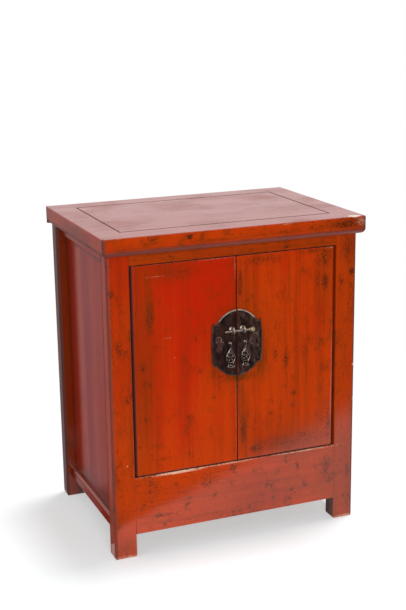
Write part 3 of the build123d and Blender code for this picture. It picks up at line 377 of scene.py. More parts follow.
# Bruised spots: centre, half widths and strength, in metres. Each piece takes those that touch it.
BRUISES = [
    ((0.010, -0.233, 0.706), (0.013, 0.02, 0.036), 0.85),
    ((0.008, -0.233, 0.682), (0.010, 0.02, 0.022), 0.90),
    ((0.005, -0.233, 0.500), (0.005, 0.02, 0.300), 0.7),
    ((0.032, -0.233, 0.654), (0.020, 0.02, 0.008), 0.6),
    ((0.072, -0.233, 0.756), (0.080, 0.02, 0.018), 0.72),
    ((0.252, -0.233, 0.744), (0.030, 0.02, 0.034), 0.80),
    ((0.215, -0.233, 0.765), (0.050, 0.02, 0.010), 0.75),
    ((0.253, -0.233, 0.684), (0.013, 0.02, 0.030), 1.00),
    ((0.232, -0.233, 0.684), (0.009, 0.02, 0.036), 0.75),
    ((0.244, -0.233, 0.610), (0.034, 0.02, 0.070), 0.44),
    ((0.109, -0.233, 0.500), (0.010, 0.02, 0.024), 0.85),
    ((0.141, -0.233, 0.484), (0.013, 0.02, 0.034), 0.85),
    ((0.194, -0.233, 0.500), (0.014, 0.02, 0.040), 0.70),
    ((0.162, -0.233, 0.385), (0.012, 0.02, 0.010), 0.85),
    ((0.158, -0.233, 0.350), (0.008, 0.02, 0.010), 0.80),
    ((0.262, -0.233, 0.330), (0.016, 0.02, 0.060), 0.60),
    ((0.232, -0.233, 0.300), (0.012, 0.02, 0.040), 0.55),
    ((0.014, -0.233, 0.400), (0.010, 0.02, 0.050), 0.50),
    ((0.016, -0.233, 0.300), (0.016, 0.02, 0.060), 0.85),
    ((0.050, -0.233, 0.247), (0.032, 0.02, 0.014), 0.90),
    ((0.140, -0.233, 0.250), (0.170, 0.02, 0.034), 0.62),
    ((0.190, -0.233, 0.264), (0.030, 0.02, 0.014), 0.75),
    ((0.265, -0.233, 0.270), (0.020, 0.02, 0.070), 0.70),
    ((0.078, -0.233, 0.530), (0.014, 0.02, 0.060), 0.45),
    ((-0.045, -0.233, 0.462), (0.030, 0.02, 0.014), 0.60),
    ((0.030, -0.233, 0.345), (0.022, 0.02, 0.030), 0.50),
    ((-0.236, -0.233, 0.640), (0.018, 0.02, 0.060), 0.68),
    ((-0.220, -0.233, 0.560), (0.018, 0.02, 0.022), 0.45),
    ((-0.225, -0.233, 0.296), (0.030, 0.02, 0.012), 0.55),
    ((-0.208, -0.233, 0.258), (0.034, 0.02, 0.008), 0.65),
    ((-0.110, -0.233, 0.300), (0.030, 0.02, 0.010), 0.35),
    ((-0.150, -0.233, 0.745), (0.070, 0.02, 0.016), 0.50),
    ((-0.020, -0.233, 0.752), (0.016, 0.02, 0.014), 0.55),
    ((-0.338, -0.234, 0.560), (0.010, 0.02, 0.220), 0.50),
    ((-0.306, -0.234, 0.640), (0.020, 0.02, 0.024), 0.30),
    ((-0.320, -0.234, 0.350), (0.020, 0.02, 0.030), 0.50),
    ((-0.300, -0.234, 0.250), (0.014, 0.02, 0.050), 0.45),
    ((-0.316, -0.234, 0.030), (0.030, 0.03, 0.034), 0.60),
    ((0.332, -0.234, 0.700), (0.008, 0.02, 0.010), 1.20),
    ((0.320, -0.234, 0.765), (0.028, 0.02, 0.040), 0.72),
    ((0.334, -0.234, 0.620), (0.014, 0.02, 0.190), 0.58),
    ((0.304, -0.234, 0.470), (0.016, 0.02, 0.130), 0.45),
    ((0.312, -0.234, 0.210), (0.030, 0.02, 0.100), 0.45),
    ((0.328, -0.234, 0.140), (0.010, 0.02, 0.030), 0.80),
    ((0.330, -0.234, 0.060), (0.020, 0.03, 0.050), 0.60),
    ((0.175, -0.234, 0.176), (0.007, 0.02, 0.020), 1.00),
    ((0.262, -0.234, 0.160), (0.020, 0.02, 0.050), 0.75),
    ((-0.222, -0.234, 0.104), (0.044, 0.02, 0.008), 0.85),
    ((-0.150, -0.234, 0.160), (0.040, 0.02, 0.016), 0.45),
    ((-0.060, -0.234, 0.080), (0.160, 0.02, 0.014), 0.50),
    ((0.160, -0.234, 0.100), (0.100, 0.02, 0.020), 0.45),
    ((0.060, -0.234, 0.150), (0.090, 0.02, 0.020), 0.30),
    ((-0.135, -0.256, 0.838), (0.012, 0.02, 0.009), 1.20),
    ((-0.232, -0.256, 0.838), (0.012, 0.02, 0.007), 0.90),
    ((-0.050, -0.256, 0.824), (0.090, 0.02, 0.006), 0.65),
    ((0.110, -0.256, 0.830), (0.120, 0.02, 0.010), 0.55),
    ((0.300, -0.256, 0.834), (0.070, 0.02, 0.020), 1.00),
    ((0.216, -0.256, 0.830), (0.040, 0.02, 0.014), 0.75),
    ((-0.300, -0.256, 0.822), (0.050, 0.02, 0.006), 0.45),
    ((0.287, -0.181, 0.850), (0.006, 0.005, 0.01), 0.90),
]
# Places where the lacquer is olive: most have gone so with age, and some darken it round the lock plate.
HAZES = [
    ((-0.238, -0.233, 0.668), (0.020, 0.02, 0.090), 0.80),
    # Darker olive round the lock plate.
    ((0.004, -0.233, 0.540), (0.090, 0.02, 0.112), 0.90),
    ((0.020, -0.233, 0.660), (0.034, 0.02, 0.110), 0.45),
    # Darker olive round the lock plate's bottom and sides.
    ((0.004, -0.233, 0.452), (0.064, 0.02, 0.018), 1.00),
    ((0.068, -0.233, 0.486), (0.022, 0.02, 0.050), 0.90),
    ((-0.062, -0.233, 0.474), (0.018, 0.02, 0.034), 0.80),
    ((0.016, -0.233, 0.330), (0.022, 0.02, 0.120), 0.45),
    ((0.200, -0.233, 0.420), (0.030, 0.02, 0.120), 0.12),
    ((-0.258, -0.233, 0.500), (0.050, 0.02, 0.330), 0.52),
    ((-0.205, -0.233, 0.752), (0.100, 0.02, 0.034), 0.55),
    ((0.256, -0.233, 0.700), (0.034, 0.02, 0.110), 0.30),
    ((0.120, -0.233, 0.290), (0.180, 0.02, 0.040), 0.20),
    ((-0.296, -0.234, 0.420), (0.014, 0.02, 0.360), 0.35),
    ((0.150, -0.234, 0.140), (0.240, 0.02, 0.060), 0.25),
    ((0.316, -0.234, 0.120), (0.040, 0.02, 0.120), 0.35),
    ((0.316, -0.234, 0.760), (0.030, 0.02, 0.060), 0.35),
    ((0.300, -0.256, 0.832), (0.080, 0.02, 0.020), 0.30),
]
# Places where it has gone purple and dull.
BLOOMS = [
    ((0.300, -0.234, 0.110), (0.090, 0.02, 0.190), 0.40),
    ((0.080, -0.234, 0.120), (0.300, 0.02, 0.080), 0.22),
    ((0.180, -0.233, 0.235), (0.140, 0.02, 0.050), 0.45),
    ((-0.316, -0.234, 0.020), (0.050, 0.04, 0.070), 0.15),
    ((0.340, -0.256, 0.830), (0.030, 0.02, 0.030), 0.35),
    ((0.330, -0.234, 0.770), (0.030, 0.02, 0.060), 0.25),
    ((-0.345, 0.235, 0.400), (0.030, 0.03, 0.600), 0.40),
    ((-0.316, 0.184, 0.430), (0.030, 0.05, 0.900), 0.45),
    ((0.316, 0.184, 0.430), (0.030, 0.05, 0.900), 0.45),
    ((-0.330, 0.000, 0.110), (0.040, 0.30, 0.030), 0.60),
    ((-0.358, -0.020, 0.826), (0.030, 0.14, 0.016), 0.50),
]
# Places rubbed or chipped through to the pale ground.
CHIPS = [
    ((-0.165, -0.234, 0.2165), (0.095, 0.01, 0.0044), 1.3),
    ((-0.030, -0.234, 0.2170), (0.090, 0.01, 0.0030), 0.8),
    ((0.180, -0.234, 0.2170), (0.120, 0.01, 0.0028), 0.8),
    ((-0.0030, -0.233, 0.745), (0.0020, 0.01, 0.040), 0.45),
    ((-0.0030, -0.233, 0.360), (0.0016, 0.01, 0.130), 0.32),
    ((-0.060, -0.233, 0.7705), (0.060, 0.01, 0.0016), 0.35),
    ((0.268, -0.233, 0.7700), (0.014, 0.01, 0.0020), 0.5),
    ((-0.2830, -0.233, 0.600), (0.0012, 0.01, 0.170), 0.20),
    ((-0.216, -0.233, 0.741), (0.032, 0.01, 0.0014), 0.35),
    ((-0.171, -0.233, 0.526), (0.002, 0.01, 0.0015), 0.6),
    ((-0.284, -0.233, 0.615), (0.003, 0.01, 0.006), 0.9),
    ((-0.190, -0.233, 0.580), (0.014, 0.01, 0.002), 0.25),
    ((0.342, -0.234, 0.443), (0.006, 0.02, 0.006), 1.2),
    ((0.343, -0.234, 0.344), (0.004, 0.02, 0.004), 1.2),
    ((0.131, -0.256, 0.847), (0.016, 0.01, 0.002), 0.6),
    ((0.345, -0.256, 0.838), (0.016, 0.02, 0.014), 0.55),
    ((-0.3055, -0.234, 0.255), (0.0022, 0.01, 0.0022), 1.0),
    ((-0.316, -0.234, 0.004), (0.040, 0.06, 0.005), 0.7),
    ((0.316, -0.234, 0.004), (0.040, 0.06, 0.005), 0.7),
]


def marks_on(skin, marks, low, high, wobble):
    """The strongest of the marks that touch a box, from 0, with ragged outlines."""
    field = skin.number(0.0)
    for centre, sizes, strength in marks:
        if all(a - s < c < b + s for a, b, c, s in zip(low, high, centre, sizes)):
            scale = [1 / size for size in sizes]
            shift = [-place / size for place, size in zip(centre, sizes)]
            away = skin.length(skin.scaled(scale, shift))
            field = field | skin.between(away + wobble, *MARK_FADE, strength, 0.0)
    return field


def edge_masks(skin, node, wide):
    """How near each point is to the node's faces across X, Y and Z: 1 on a face, 0 beyond wide."""
    low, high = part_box(node)
    masks = []
    for index in range(3):
        middle = (low[index] + high[index]) / 2
        half_size = (high[index] - low[index]) / 2
        masks.append(skin.between(half_size - abs(skin.axis(index) - middle), 0.0, wide, 1.0, 0.0))
    return masks


def arrises(skin, node, rub):
    """How pale the arrises along X, Y and Z are rubbed, and how dark the outer ones have gone."""
    near = edge_masks(skin, node, RUB_WIDE)
    along = (near[1] * near[2], near[0] * near[2], near[0] * near[1])
    pale = along[0] * max(rub[0], 0) | along[1] * max(rub[1], 0) | along[2] * max(rub[2], 0)
    dark = along[0] * max(-rub[0], 0) | along[1] * max(-rub[1], 0) | along[2] * max(-rub[2], 0)
    return pale, dark * skin.between(abs(skin.axis(0)), *OUTER_ARRIS)


def rounded_edges(skin, node):
    """1 on the rounded upright edges of a piece that stands at the cabinet's outer sides."""
    near_x, near_y, _ = edge_masks(skin, node, ROUNDED_WIDE)
    return skin.between(near_x * near_y, 0.0, 0.4) * skin.between(abs(skin.axis(0)), *ROUNDED_OUT)


def within(skin, low, high, edge=BOX_EDGE):
    """1 inside a box and 0 outside it, with a narrow soft edge."""
    inside = skin.number(1.0)
    for index, (start, end) in enumerate(zip(low, high)):
        at = skin.axis(index)
        past_start = skin.between(at, start, start + edge)
        before_end = skin.between(at, end - edge, end, 1.0, 0.0)
        inside = inside * past_start * before_end
    return inside


def boxes_on(skin, boxes, low, high):
    """The strongest of the soft-edged boxes that touch a box, from 0."""
    field = skin.number(0.0)
    for start, end, edge, strength in boxes:
        if all(a < d and c < b for a, b, c, d in zip(low, high, start, end)):
            field = field | within(skin, start, end, edge) * strength
    return field


def soften(node, width, segments=2):
    """A worn arris on every sharp edge of a node, with the flats between them still shaded flat."""
    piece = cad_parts[node]
    weld = piece.modifiers.new("weld", "WELD")
    weld.merge_threshold = WELD_GAP
    arris = piece.modifiers.new("arris", "BEVEL")
    arris.width = width
    arris.segments = segments
    arris.limit_method = "ANGLE"
    arris.angle_limit = ARRIS_ANGLE
    flats = piece.modifiers.new("flats", "WEIGHTED_NORMAL")
    flats.keep_sharp = True


def coat(node, finish):
    """Gives a node of the frame one material in place of its own."""
    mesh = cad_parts[node].data
    mesh.materials.clear()
    mesh.materials.append(finish.owner)


def coat_below(skin):
    """The colour and the roughness that a finish has so far, for another layer over it."""
    shader = skin.tree.nodes["Principled BSDF"]
    return [Wire(skin, shader.inputs[key].links[0].from_socket) for key in ("Base Color", "Roughness")]


def drawn_out(grain, per_metre, least=0.0):
    """Lumps per metre along X, Y and Z, with no less than a least share of them along the grain."""
    return [per_metre * (least + share * (1 - least)) for share in grain]


def fibres(skin, grain, light, dark):
    """Sawn wood: its colour, from long fibres and broad year rings that run along the grain."""
    rings = skin.noise(drawn_out(grain, 36.0), 4.2, 2.0)
    fibre = skin.noise(drawn_out(grain, 420.0), 8.8, 3.0, 0.6)
    depth = skin.between(rings * 0.6 + fibre * 0.5, 0.38, 0.72)
    return skin.mix(depth, light, dark), fibre


def lacquer(node, grain, red, rub, width, specks, deep=0.0):
    """Old red lacquer on one piece, bare brown wood on what faces the inside.

    red is how much vermilion it has at the floor and at the top, and rub how pale its arrises along
    X, Y and Z are, or how dark where it is negative. width is that of its arrises in metres, specks
    how thickly it is specked, and deep how much of it has gone olive.
    """
    skin = Finish(bpy.data.materials, f"red_lacquer_on_{node}")
    low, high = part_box(node)
    cloud = skin.noise(CLOUDS, 3.1, 3.0)
    streak = skin.noise(drawn_out(grain, BRUSH_MARKS), 7.7, 3.0)
    broad = skin.noise(drawn_out(grain, BROAD_MARKS), 1.9, 2.0)
    blot = skin.noise(BLOTS, 5.5, 3.0)
    mottle = skin.noise(drawn_out(grain, MOTTLES, 0.35), 13.0, 4.0, 0.6)
    fleck = skin.noise(drawn_out(grain, FLECKS, 0.4), 11.0, 4.0, 0.62)
    fine = skin.noise(GRIT, 2.3, 1.0)
    brushed = streak + broad
    wobble = (blot - 0.5) * 1.7 + (mottle - 0.5) * 2.2

    # The brushed coat, thin over its olive ground between the brush marks.
    rise = skin.between(skin.axis(2), *RED_HEIGHTS, *red)
    redness = skin.between(cloud + rise + (broad - 0.5) * 0.6, 0.70, 1.30)
    colour = skin.mix(redness, ORANGE, VERMILION)
    colour = skin.mix(skin.between(brushed, 0.92, 1.40, 0.0, 0.40), colour, OLIVE)

    # Broad places that have gone olive or purple.
    clouded = skin.between(cloud + blot * 0.4, 0.72, 1.0, deep, 0.45)
    haze = marks_on(skin, HAZES, low, high, wobble) | clouded
    colour = skin.mix(haze * skin.between(brushed, 0.7, 1.2, 0.6, 1.0), colour, OLIVE)
    bloom = marks_on(skin, BLOOMS, low, high, wobble * 0.5)
    colour = skin.mix(bloom, colour, PURPLE)

    # Smudges, smears and dark specks, thickest in the bruises.
    smudge = skin.between(blot * 0.40 + mottle * 0.60, 0.47, 0.64, 0.0, specks)
    colour = skin.mix(smudge * 0.75, colour, OLIVE)
    handled = skin.between(blot, 0.55, 0.80, specks * 0.4, specks + 0.3)
    worn = marks_on(skin, BRUISES, low, high, wobble) | handled
    bruised = skin.between(fleck + worn * 0.19 + (blot - 0.5) * 0.12, 0.66, 0.74)
    smeared = skin.between(mottle + streak * 0.2 + worn * 0.30, 0.72, 1.02)
    colour = skin.mix(worn * 0.25, colour, OLIVE)
    colour = skin.mix(smeared * 0.70, colour, SMEAR)
    colour = skin.mix(bruised * 0.85, colour, BRUISE)

    # Arrises dark with dirt, dull and painted darker as shade where they are rounded, or rubbed through
    # to the pale ground.
    pale, dark = arrises(skin, node, rub)
    colour = skin.mix(dark * skin.between(mottle, 0.3, 0.6, 0.5, 1.0), colour, BRUISE)
    dulled_and_shaded = rounded_edges(skin, node)
    colour = skin.mix(dulled_and_shaded * 0.60, colour, BRUISE)
    chipped = marks_on(skin, CHIPS, low, high, wobble * 0.4)
    through = skin.between(fleck + fine * 0.15 - chipped * 0.12, 0.42, 0.62, 1.0, 0.0)
    rubbed = (pale | chipped) * through
    colour = skin.mix(rubbed * 0.85, colour, RUBBED)

    # The bare inside, then painted shade in gaps and recesses, with some dirt, over all of it.
    indoors = within(skin, *INSIDE)
    wood, fibre = fibres(skin, grain, INNER_WOOD, INNER_SHADE)
    colour = skin.mix(indoors, colour, wood)
    gap_shade_and_dirt = boxes_on(skin, SHADED_GAPS_AND_DIRT, low, high)
    colour = skin.mix(gap_shade_and_dirt | boxes_on(skin, RECESS_SHADES, low, high), colour, DIRT_AND_SHADE)

    height = (broad * 1.6 + streak * 0.4 + fine * 0.12 - bruised * 0.5 - rubbed * 0.4
              + indoors * fibre * 0.8)
    rough = 0.11 + broad * 0.05 + bruised * 0.12 + rubbed * 0.2 + (indoors | gap_shade_and_dirt | dulled_and_shaded) * 0.50
    skin.shade(Base_Color=colour, Roughness=rough, Normal=skin.bump(0.30, 0.0004, height))
    coat(node, skin)
    soften(node, width)
    return skin


POST_RUB = (0.8, 0.8, -0.6)
UNRUBBED = (0.0, 0.0, 0.0)
SIDE_RED = srgb(150, 24, 14)
SIDE_BANDS = (1.0, 8.5, 0.30)
lacquer("front_left_post", UPRIGHT, (0.30, 0.60), POST_RUB, FINE_ARRIS, 0.46, 0.18)
lacquer("front_right_post", UPRIGHT, (0.30, 0.28), POST_RUB, FINE_ARRIS, 0.50, 0.25)
for side in SIDES:
    lacquer(f"back_{side}_post", UPRIGHT, (0.4, 0.4), POST_RUB, FINE_ARRIS, 0.3, 0.3)
    lacquer(f"{side}_top_rail", DEEPWISE, (0.5, 0.5), (0.2, 0.1, 0.1), FINE_ARRIS, 0.3, 0.3)
    lacquer(f"{side}_bottom_rail", DEEPWISE, (0.5, 0.5), (0.2, 0.3, 0.1), FINE_ARRIS, 0.3, 0.3)
    skin = lacquer(f"{side}_side_panel", UPRIGHT, (0.5, 0.5), UNRUBBED, FINE_ARRIS, 0.1, 0.2)
    below, rough = coat_below(skin)
    band = skin.between(skin.noise(SIDE_BANDS, 4.4, 1.0, 0.4), 0.42, 0.60)
    skin.shade(Base_Color=skin.mix(band * 0.7, below, SIDE_RED), Roughness=rough + band * 0.06)
lacquer("front_top_rail", LYING, (0.3, 0.3), (-0.4, 0.0, 0.0), FINE_ARRIS, 0.55, 0.5)
lacquer("apron", LYING, (0.25, 0.4), (0.5, 0.0, 0.0), FINE_ARRIS, 0.54)


# ---- the top ----
# A floating panel in four mitred members, flush with them, and duller than the sides because dust
# and cups have worn it; its red is darker, partly for age and partly as painted shade. The members'
# edge is square above and rounds under to a lip painted darker as shade.
SHADED_TOP_RED = srgb(158, 28, 8)
SHADED_TOP_AGED = srgb(140, 44, 28)
GROUND = srgb(244, 226, 212)
BARE_SPOTS = [((0.3280, -0.2470, 0.850), (0.020, 0.011, 0.010), 1.0)]
LIP_HEIGHTS = (0.812, 0.822)
TOP_FACE = (0.8485, 0.8493)
TOP_ARRIS = 0.0006
# The dirt of the joint lies in the members within the first box and on the panel outside the second.
OPENING = ((-0.2922, -0.1868, 0.8350), (0.2922, 0.1938, 0.8600))
PANEL = ((-0.2880, -0.1812, 0.8350), (0.2880, 0.1882, 0.8600))


def top_lacquer(node, rub):
    """The lacquer of the edge with its lip painted darker as shade, and above it the duller red of the
    upper face, darker partly for age and partly as painted shade.
    """
    skin = lacquer(node, LYING, (0.2, 0.22), rub, TOP_ARRIS, 0.46, 0.05)
    below, rough = coat_below(skin)
    # The rounded lip under the edge is painted darker as shade.
    shaded_lip = skin.between(skin.axis(2), *LIP_HEIGHTS, 0.8, 0.0)
    colour = skin.mix(shaded_lip, below, SHADED_LIP_MAROON)
    age = skin.noise((7.0, 11.0, 7.0), 6.4, 4.0)
    scuff = skin.noise((14.0, 160.0, 14.0), 9.1, 3.0)
    # The upper face's red is darker than the sides', partly for age and partly as painted shade.
    upper = skin.mix(skin.between(age + (scuff - 0.5) * 0.5, 0.38, 0.64), SHADED_TOP_RED, SHADED_TOP_AGED)
    face = skin.between(skin.axis(2), *TOP_FACE)
    colour = skin.mix(face * 0.85, colour, upper)
    if node == "top_panel":
        joint = 1 - within(skin, *PANEL)
    else:
        joint = within(skin, *OPENING)
    colour = skin.mix(joint * 0.90, colour, DIRT_AND_SHADE)
    bare = skin.between(marks_on(skin, BARE_SPOTS, *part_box(node), (scuff - 0.5) * 0.8), 0.2, 0.6)
    colour = skin.mix(bare, colour, GROUND)
    dull = skin.between(age + (scuff - 0.5) * 0.6, 0.3, 0.8, 0.0, 0.20)
    skin.shade(Base_Color=colour, Roughness=rough + shaded_lip * 0.4 + face * dull + joint * 0.8)


for node in ("top_front_member", "top_back_member", "top_left_member", "top_right_member"):
    top_lacquer(node, (0.4, 0.2, -0.7))
top_lacquer("top_panel", UNRUBBED)


# ---- the doors ----
# Each door is a lacquered board with a narrow stile tongued to its hinge side. It turns on wooden
# pivots, and two battens in sliding dovetails keep it flat behind.
DOOR_ARRIS = 0.0008
LEFT_DOOR_RUB = (0.3, 0.0, 0.0)
RIGHT_DOOR_RUB = (0.1, 0.0, 0.0)
lacquer("left_door_stile", UPRIGHT, (0.30, 0.75), LEFT_DOOR_RUB, DOOR_ARRIS, 0.40)
lacquer("left_door_board", UPRIGHT, (0.28, 0.85), LEFT_DOOR_RUB, DOOR_ARRIS, 0.28)
lacquer("right_door_stile", UPRIGHT, (0.20, 0.30), RIGHT_DOOR_RUB, DOOR_ARRIS, 0.42)
lacquer("right_door_board", UPRIGHT, (0.20, 0.40), RIGHT_DOOR_RUB, DOOR_ARRIS, 0.35)


# ---- the bare wood inside and behind ----
# Boards, bearers, battens and back are plain sawn softwood, browned with age and never lacquered.
# Their faces show the plane's and the saw's marks along the grain, and dust lies in the corners.
PLANK_LIGHT = srgb(146, 104, 66)
PLANK_DARK = srgb(94, 60, 36)
BACK_LIGHT = srgb(112, 78, 52)
BACK_DARK = srgb(66, 42, 28)
BATTEN_LIGHT = srgb(118, 78, 50)
BATTEN_DARK = srgb(76, 46, 30)
DUST = srgb(120, 102, 84)
DUST_WIDE = 0.02
SAWN_ARRIS = 0.0010
PLANKS = ("floor_front_board", "floor_back_board", "shelf_front_board", "shelf_back_board",
          "bottom_front_board", "bottom_middle_board", "bottom_back_board", "floor_lid")


def bare_wood(node, grain, light=PLANK_LIGHT, dark=PLANK_DARK, width=SAWN_ARRIS):
    """Unlacquered old wood on one piece, with knots, stains and dust by its edges."""
    skin = Finish(bpy.data.materials, f"bare_wood_on_{node}")
    seed = len(bpy.data.materials) * 1.7
    colour, fibre = fibres(skin, grain, light, dark)
    board = skin.noise([9.0 * share + 1.0 for share in grain], seed, 3.0)
    colour = skin.mix(skin.between(board, 0.45, 0.75, 0.0, 0.45), colour, dark)
    near = edge_masks(skin, node, DUST_WIDE)
    corner = (near[0] * near[1]) | (near[1] * near[2]) | (near[0] * near[2])
    colour = skin.mix(corner * skin.between(board, 0.3, 0.7, 0.1, 0.5), colour, DUST)
    skin.shade(Base_Color=colour, Roughness=0.62 + fibre * 0.2, Normal=skin.bump(0.4, 0.0006, fibre))
    coat(node, skin)
    soften(node, width)


for node in PLANKS:
    bare_wood(node, LYING)
for side in SIDES:
    bare_wood(f"{side}_door_lower_batten", LYING, BATTEN_LIGHT, BATTEN_DARK)
    bare_wood(f"{side}_door_upper_batten", LYING, BATTEN_LIGHT, BATTEN_DARK)
for side in SIDES:
    bare_wood(f"{side}_floor_bearer", DEEPWISE)
    bare_wood(f"{side}_shelf_bearer", DEEPWISE)
    bare_wood(f"top_{side}_batten", DEEPWISE)
for node in ("back_top_rail", "back_middle_rail", "back_bottom_rail"):
    bare_wood(node, LYING, BACK_LIGHT, BACK_DARK, FINE_ARRIS)
for node in ("back_lower_panel", "back_upper_panel"):
    bare_wood(node, UPRIGHT, BACK_LIGHT, BACK_DARK, FINE_ARRIS)


# ---- the lock plates and their nails ----
# Two halves of sheet brass, lobed in outline with a raised rim, each pierced with a cloud and held
# by four dome-headed nails. They have gone dark brown; the upper rim and the cloud's edge are painted
# bright, partly as rubbed brass and partly as painted highlight.
PATINA = srgb(54, 36, 36)
PATINA_BROWN = srgb(84, 54, 46)
PATINA_SMUDGE = srgb(132, 108, 98)
RUBBED_RIM_AND_HIGHLIGHT = srgb(244, 216, 192)
NAIL_BRASS = srgb(74, 54, 48)
PLATE_ARRIS = 0.0005
PLATE_FIELD = -0.2352
RIM_FADE = (-0.2362, -0.2355)
UPPER_LOBE = (0.604, 0.612)
# The X, Z and radius of the cloud's three lobes, and the X and Z of each nail, on the right half.
CLOUD = ((0.051, 0.5575, 0.0075), (0.051, 0.5315, 0.0075), (0.044, 0.5445, 0.0075))
CLOUD_EDGE = (0.0004, 0.0016)
NAILS = ((0.014, 0.623), (0.057, 0.588), (0.0595, 0.499), (0.014, 0.468))
NAIL_HEAD = 0.0030
NAIL_DOME = (1.0, 0.62, 1.0)
NAIL_SPIKE = 0.0020
NAIL_LONG = 0.0120
SHARP = radians(38)
POLE_GAP = 0.000005


def old_brass(name, colour, dark, dull, grime=0.5):
    """Cast or wrought brass with dark grime in patches."""
    skin = Finish(bpy.data.materials, name)
    tarnish = skin.noise((420.0, 420.0, 420.0), 3.7, 3.0, 0.6)
    dents = skin.noise((900.0, 900.0, 900.0), 6.1, 2.0)
    dirty = skin.between(tarnish, 0.40, 0.68, 0.0, grime)
    skin.shade(Base_Color=skin.mix(dirty, colour, dark), Metallic=1.0, Roughness=dull + dirty * 0.25,
               Normal=skin.bump(0.35, 0.0002, dents))
    return skin


def shape(name, form, body, node, finish):
    """Makes the finished form of a piece and lets it stand for a node of the frame."""
    mesh = bpy.data.meshes.new(name)
    form.to_mesh(mesh)
    form.free()
    mesh.materials.append(finish.owner)
    mesh.shade_smooth()
    mesh.set_sharp_from_angle(angle=SHARP)
    piece = bpy.data.objects.new(name, mesh)
    scene.collection.objects.link(piece)
    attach(piece, body)
    if node:
        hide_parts(node)


def move(form, vertices, by):
    """Shifts some vertices of a form by a vector."""
    bmesh.ops.translate(form, verts=vertices, vec=by)


def bar(form, low, high):
    """A square bar between two corners."""
    made = bmesh.ops.create_cube(form, size=1.0)["verts"]
    size = [b - a for a, b in zip(low, high)]
    bmesh.ops.scale(form, verts=made, vec=size)
    move(form, made, [(a + b) / 2 for a, b in zip(low, high)])


def turned(form, profile, origin, along, across, steps=40):
    """Turns a profile of (distance along, radius) pairs about the line from origin."""
    knots = [form.verts.new(origin + along * run + across * radius) for run, radius in profile]
    edges = [form.edges.new(pair) for pair in zip(knots, knots[1:])]
    bmesh.ops.spin(form, geom=knots + edges, cent=origin, axis=along, angle=radians(360), steps=steps,
                   use_merge=True)
    bmesh.ops.remove_doubles(form, verts=form.verts, dist=POLE_GAP)


def close(form):
    """Points every face outwards."""
    bmesh.ops.recalc_face_normals(form, faces=form.faces)


def plate_brass(side, sign):
    """Dark sheet brass, smudged by hands, and bright on its upper rim and round the cloud, partly rubbed
    and partly a painted highlight.
    """
    skin = Finish(bpy.data.materials, f"dark_brass_on_{side}_lock_plate")
    rub = skin.noise((60.0, 60.0, 60.0), 2.2 + sign, 2.0)
    smudge = skin.noise((110.0, 110.0, 40.0), 5.9, 3.0)
    stain = skin.noise((60.0, 60.0, 40.0), 8.3, 3.0)
    grit = skin.noise((520.0, 520.0, 520.0), 3.3, 2.0)
    colour = skin.mix(skin.between(stain, 0.36, 0.66), PATINA, PATINA_BROWN)
    handled = skin.between(smudge + (grit - 0.5) * 0.9, 0.46, 0.74, 0.0, 0.46 + 0.24 * sign)
    colour = skin.mix(handled, colour, PATINA_SMUDGE)

    outline = skin.number(1.0)
    for x, z, radius in CLOUD:
        away = skin.length(skin.scaled((1.0, 1.0, 1.0), (-sign * x, -PLATE_FIELD, -z)))
        outline = outline & (away - radius)
    # The cloud's edge and the upper rim are bright partly as rubbed brass and partly as painted
    # highlight.
    curl = skin.between(outline, *CLOUD_EDGE, 1.0, 0.0) * skin.between(stain, 0.46, 0.58)
    rim = skin.between(skin.axis(1), *RIM_FADE, 1.0, 0.0)
    upper = skin.between(skin.axis(2), *UPPER_LOBE, 0.10, 1.0)
    worn_rim_and_highlight = rim * upper * skin.between(rub, 0.30, 0.55, 0.5, 1.0) | curl * 0.6
    skin.shade(Base_Color=skin.mix(worn_rim_and_highlight, colour, RUBBED_RIM_AND_HIGHLIGHT), Metallic=0.9,
               Roughness=0.34 + smudge * 0.2, Normal=skin.bump(0.3, 0.0003, smudge + grit * 0.3))
    return skin


def dome_nails(sign):
    """The four nails of one half: a flattened dome over a square spike."""
    form = bmesh.new()
    for x, z in NAILS:
        head = bmesh.ops.create_uvsphere(form, u_segments=24, v_segments=12, radius=NAIL_HEAD)["verts"]
        bmesh.ops.scale(form, verts=head, vec=NAIL_DOME)
        move(form, head, (sign * x, PLATE_FIELD, z))
        bar(form, (sign * x - NAIL_SPIKE / 2, PLATE_FIELD, z - NAIL_SPIKE / 2),
            (sign * x + NAIL_SPIKE / 2, PLATE_FIELD + NAIL_LONG, z + NAIL_SPIKE / 2))
    close(form)
    return form


for side, sign in SIDES.items():
    coat(f"{side}_lock_plate", plate_brass(side, sign))
    soften(f"{side}_lock_plate", PLATE_ARRIS, 3)
    nail_brass = old_brass(f"nail_brass_{side}", NAIL_BRASS, PATINA, 0.5)
    shape(f"{side}_dome_nails", dome_nails(sign), f"{side}_door", f"{side}_plate_nails",
          nail_brass)


# ---- the ring staples and the pendant loops ----
# Split rings of brass wire. Each staple's ring stands out of a domed collar, and its legs go through
# plate and door and are clenched behind. The loops below are the same thing in thinner wire.
STAPLE_BRASS = srgb(184, 170, 158)
STAPLE_GRIME = srgb(92, 74, 66)
LOOP_BRASS = srgb(184, 168, 152)
LOOP_GRIME = srgb(84, 66, 58)
DOOR_FACE = -0.2330
DOOR_REAR = -0.2110
# The ring's centre and its reach out of the door, its outer and inner radii and half its width, the
# collar's radius, half a leg's width and how far its end is bent.
STAPLES = {"x": 0.015, "z": 0.582, "reach": 0.0125, "ring": 0.0100, "bore": 0.0054, "half": 0.0025,
           "collar": 0.0075, "leg": 0.0020, "clench": 0.013}
LOOPS = {"x": 0.021, "z": 0.547, "reach": 0.0090, "ring": 0.0058, "bore": 0.0038, "half": 0.0010,
         "collar": 0.0032, "leg": 0.0012, "clench": 0.0065}
COLLAR_HIGH = 0.0026


def edges_of(vertices):
    """The edges round a loop of vertices, each once and always in the same order."""
    return list(dict.fromkeys(edge for vertex in vertices for edge in vertex.link_edges))


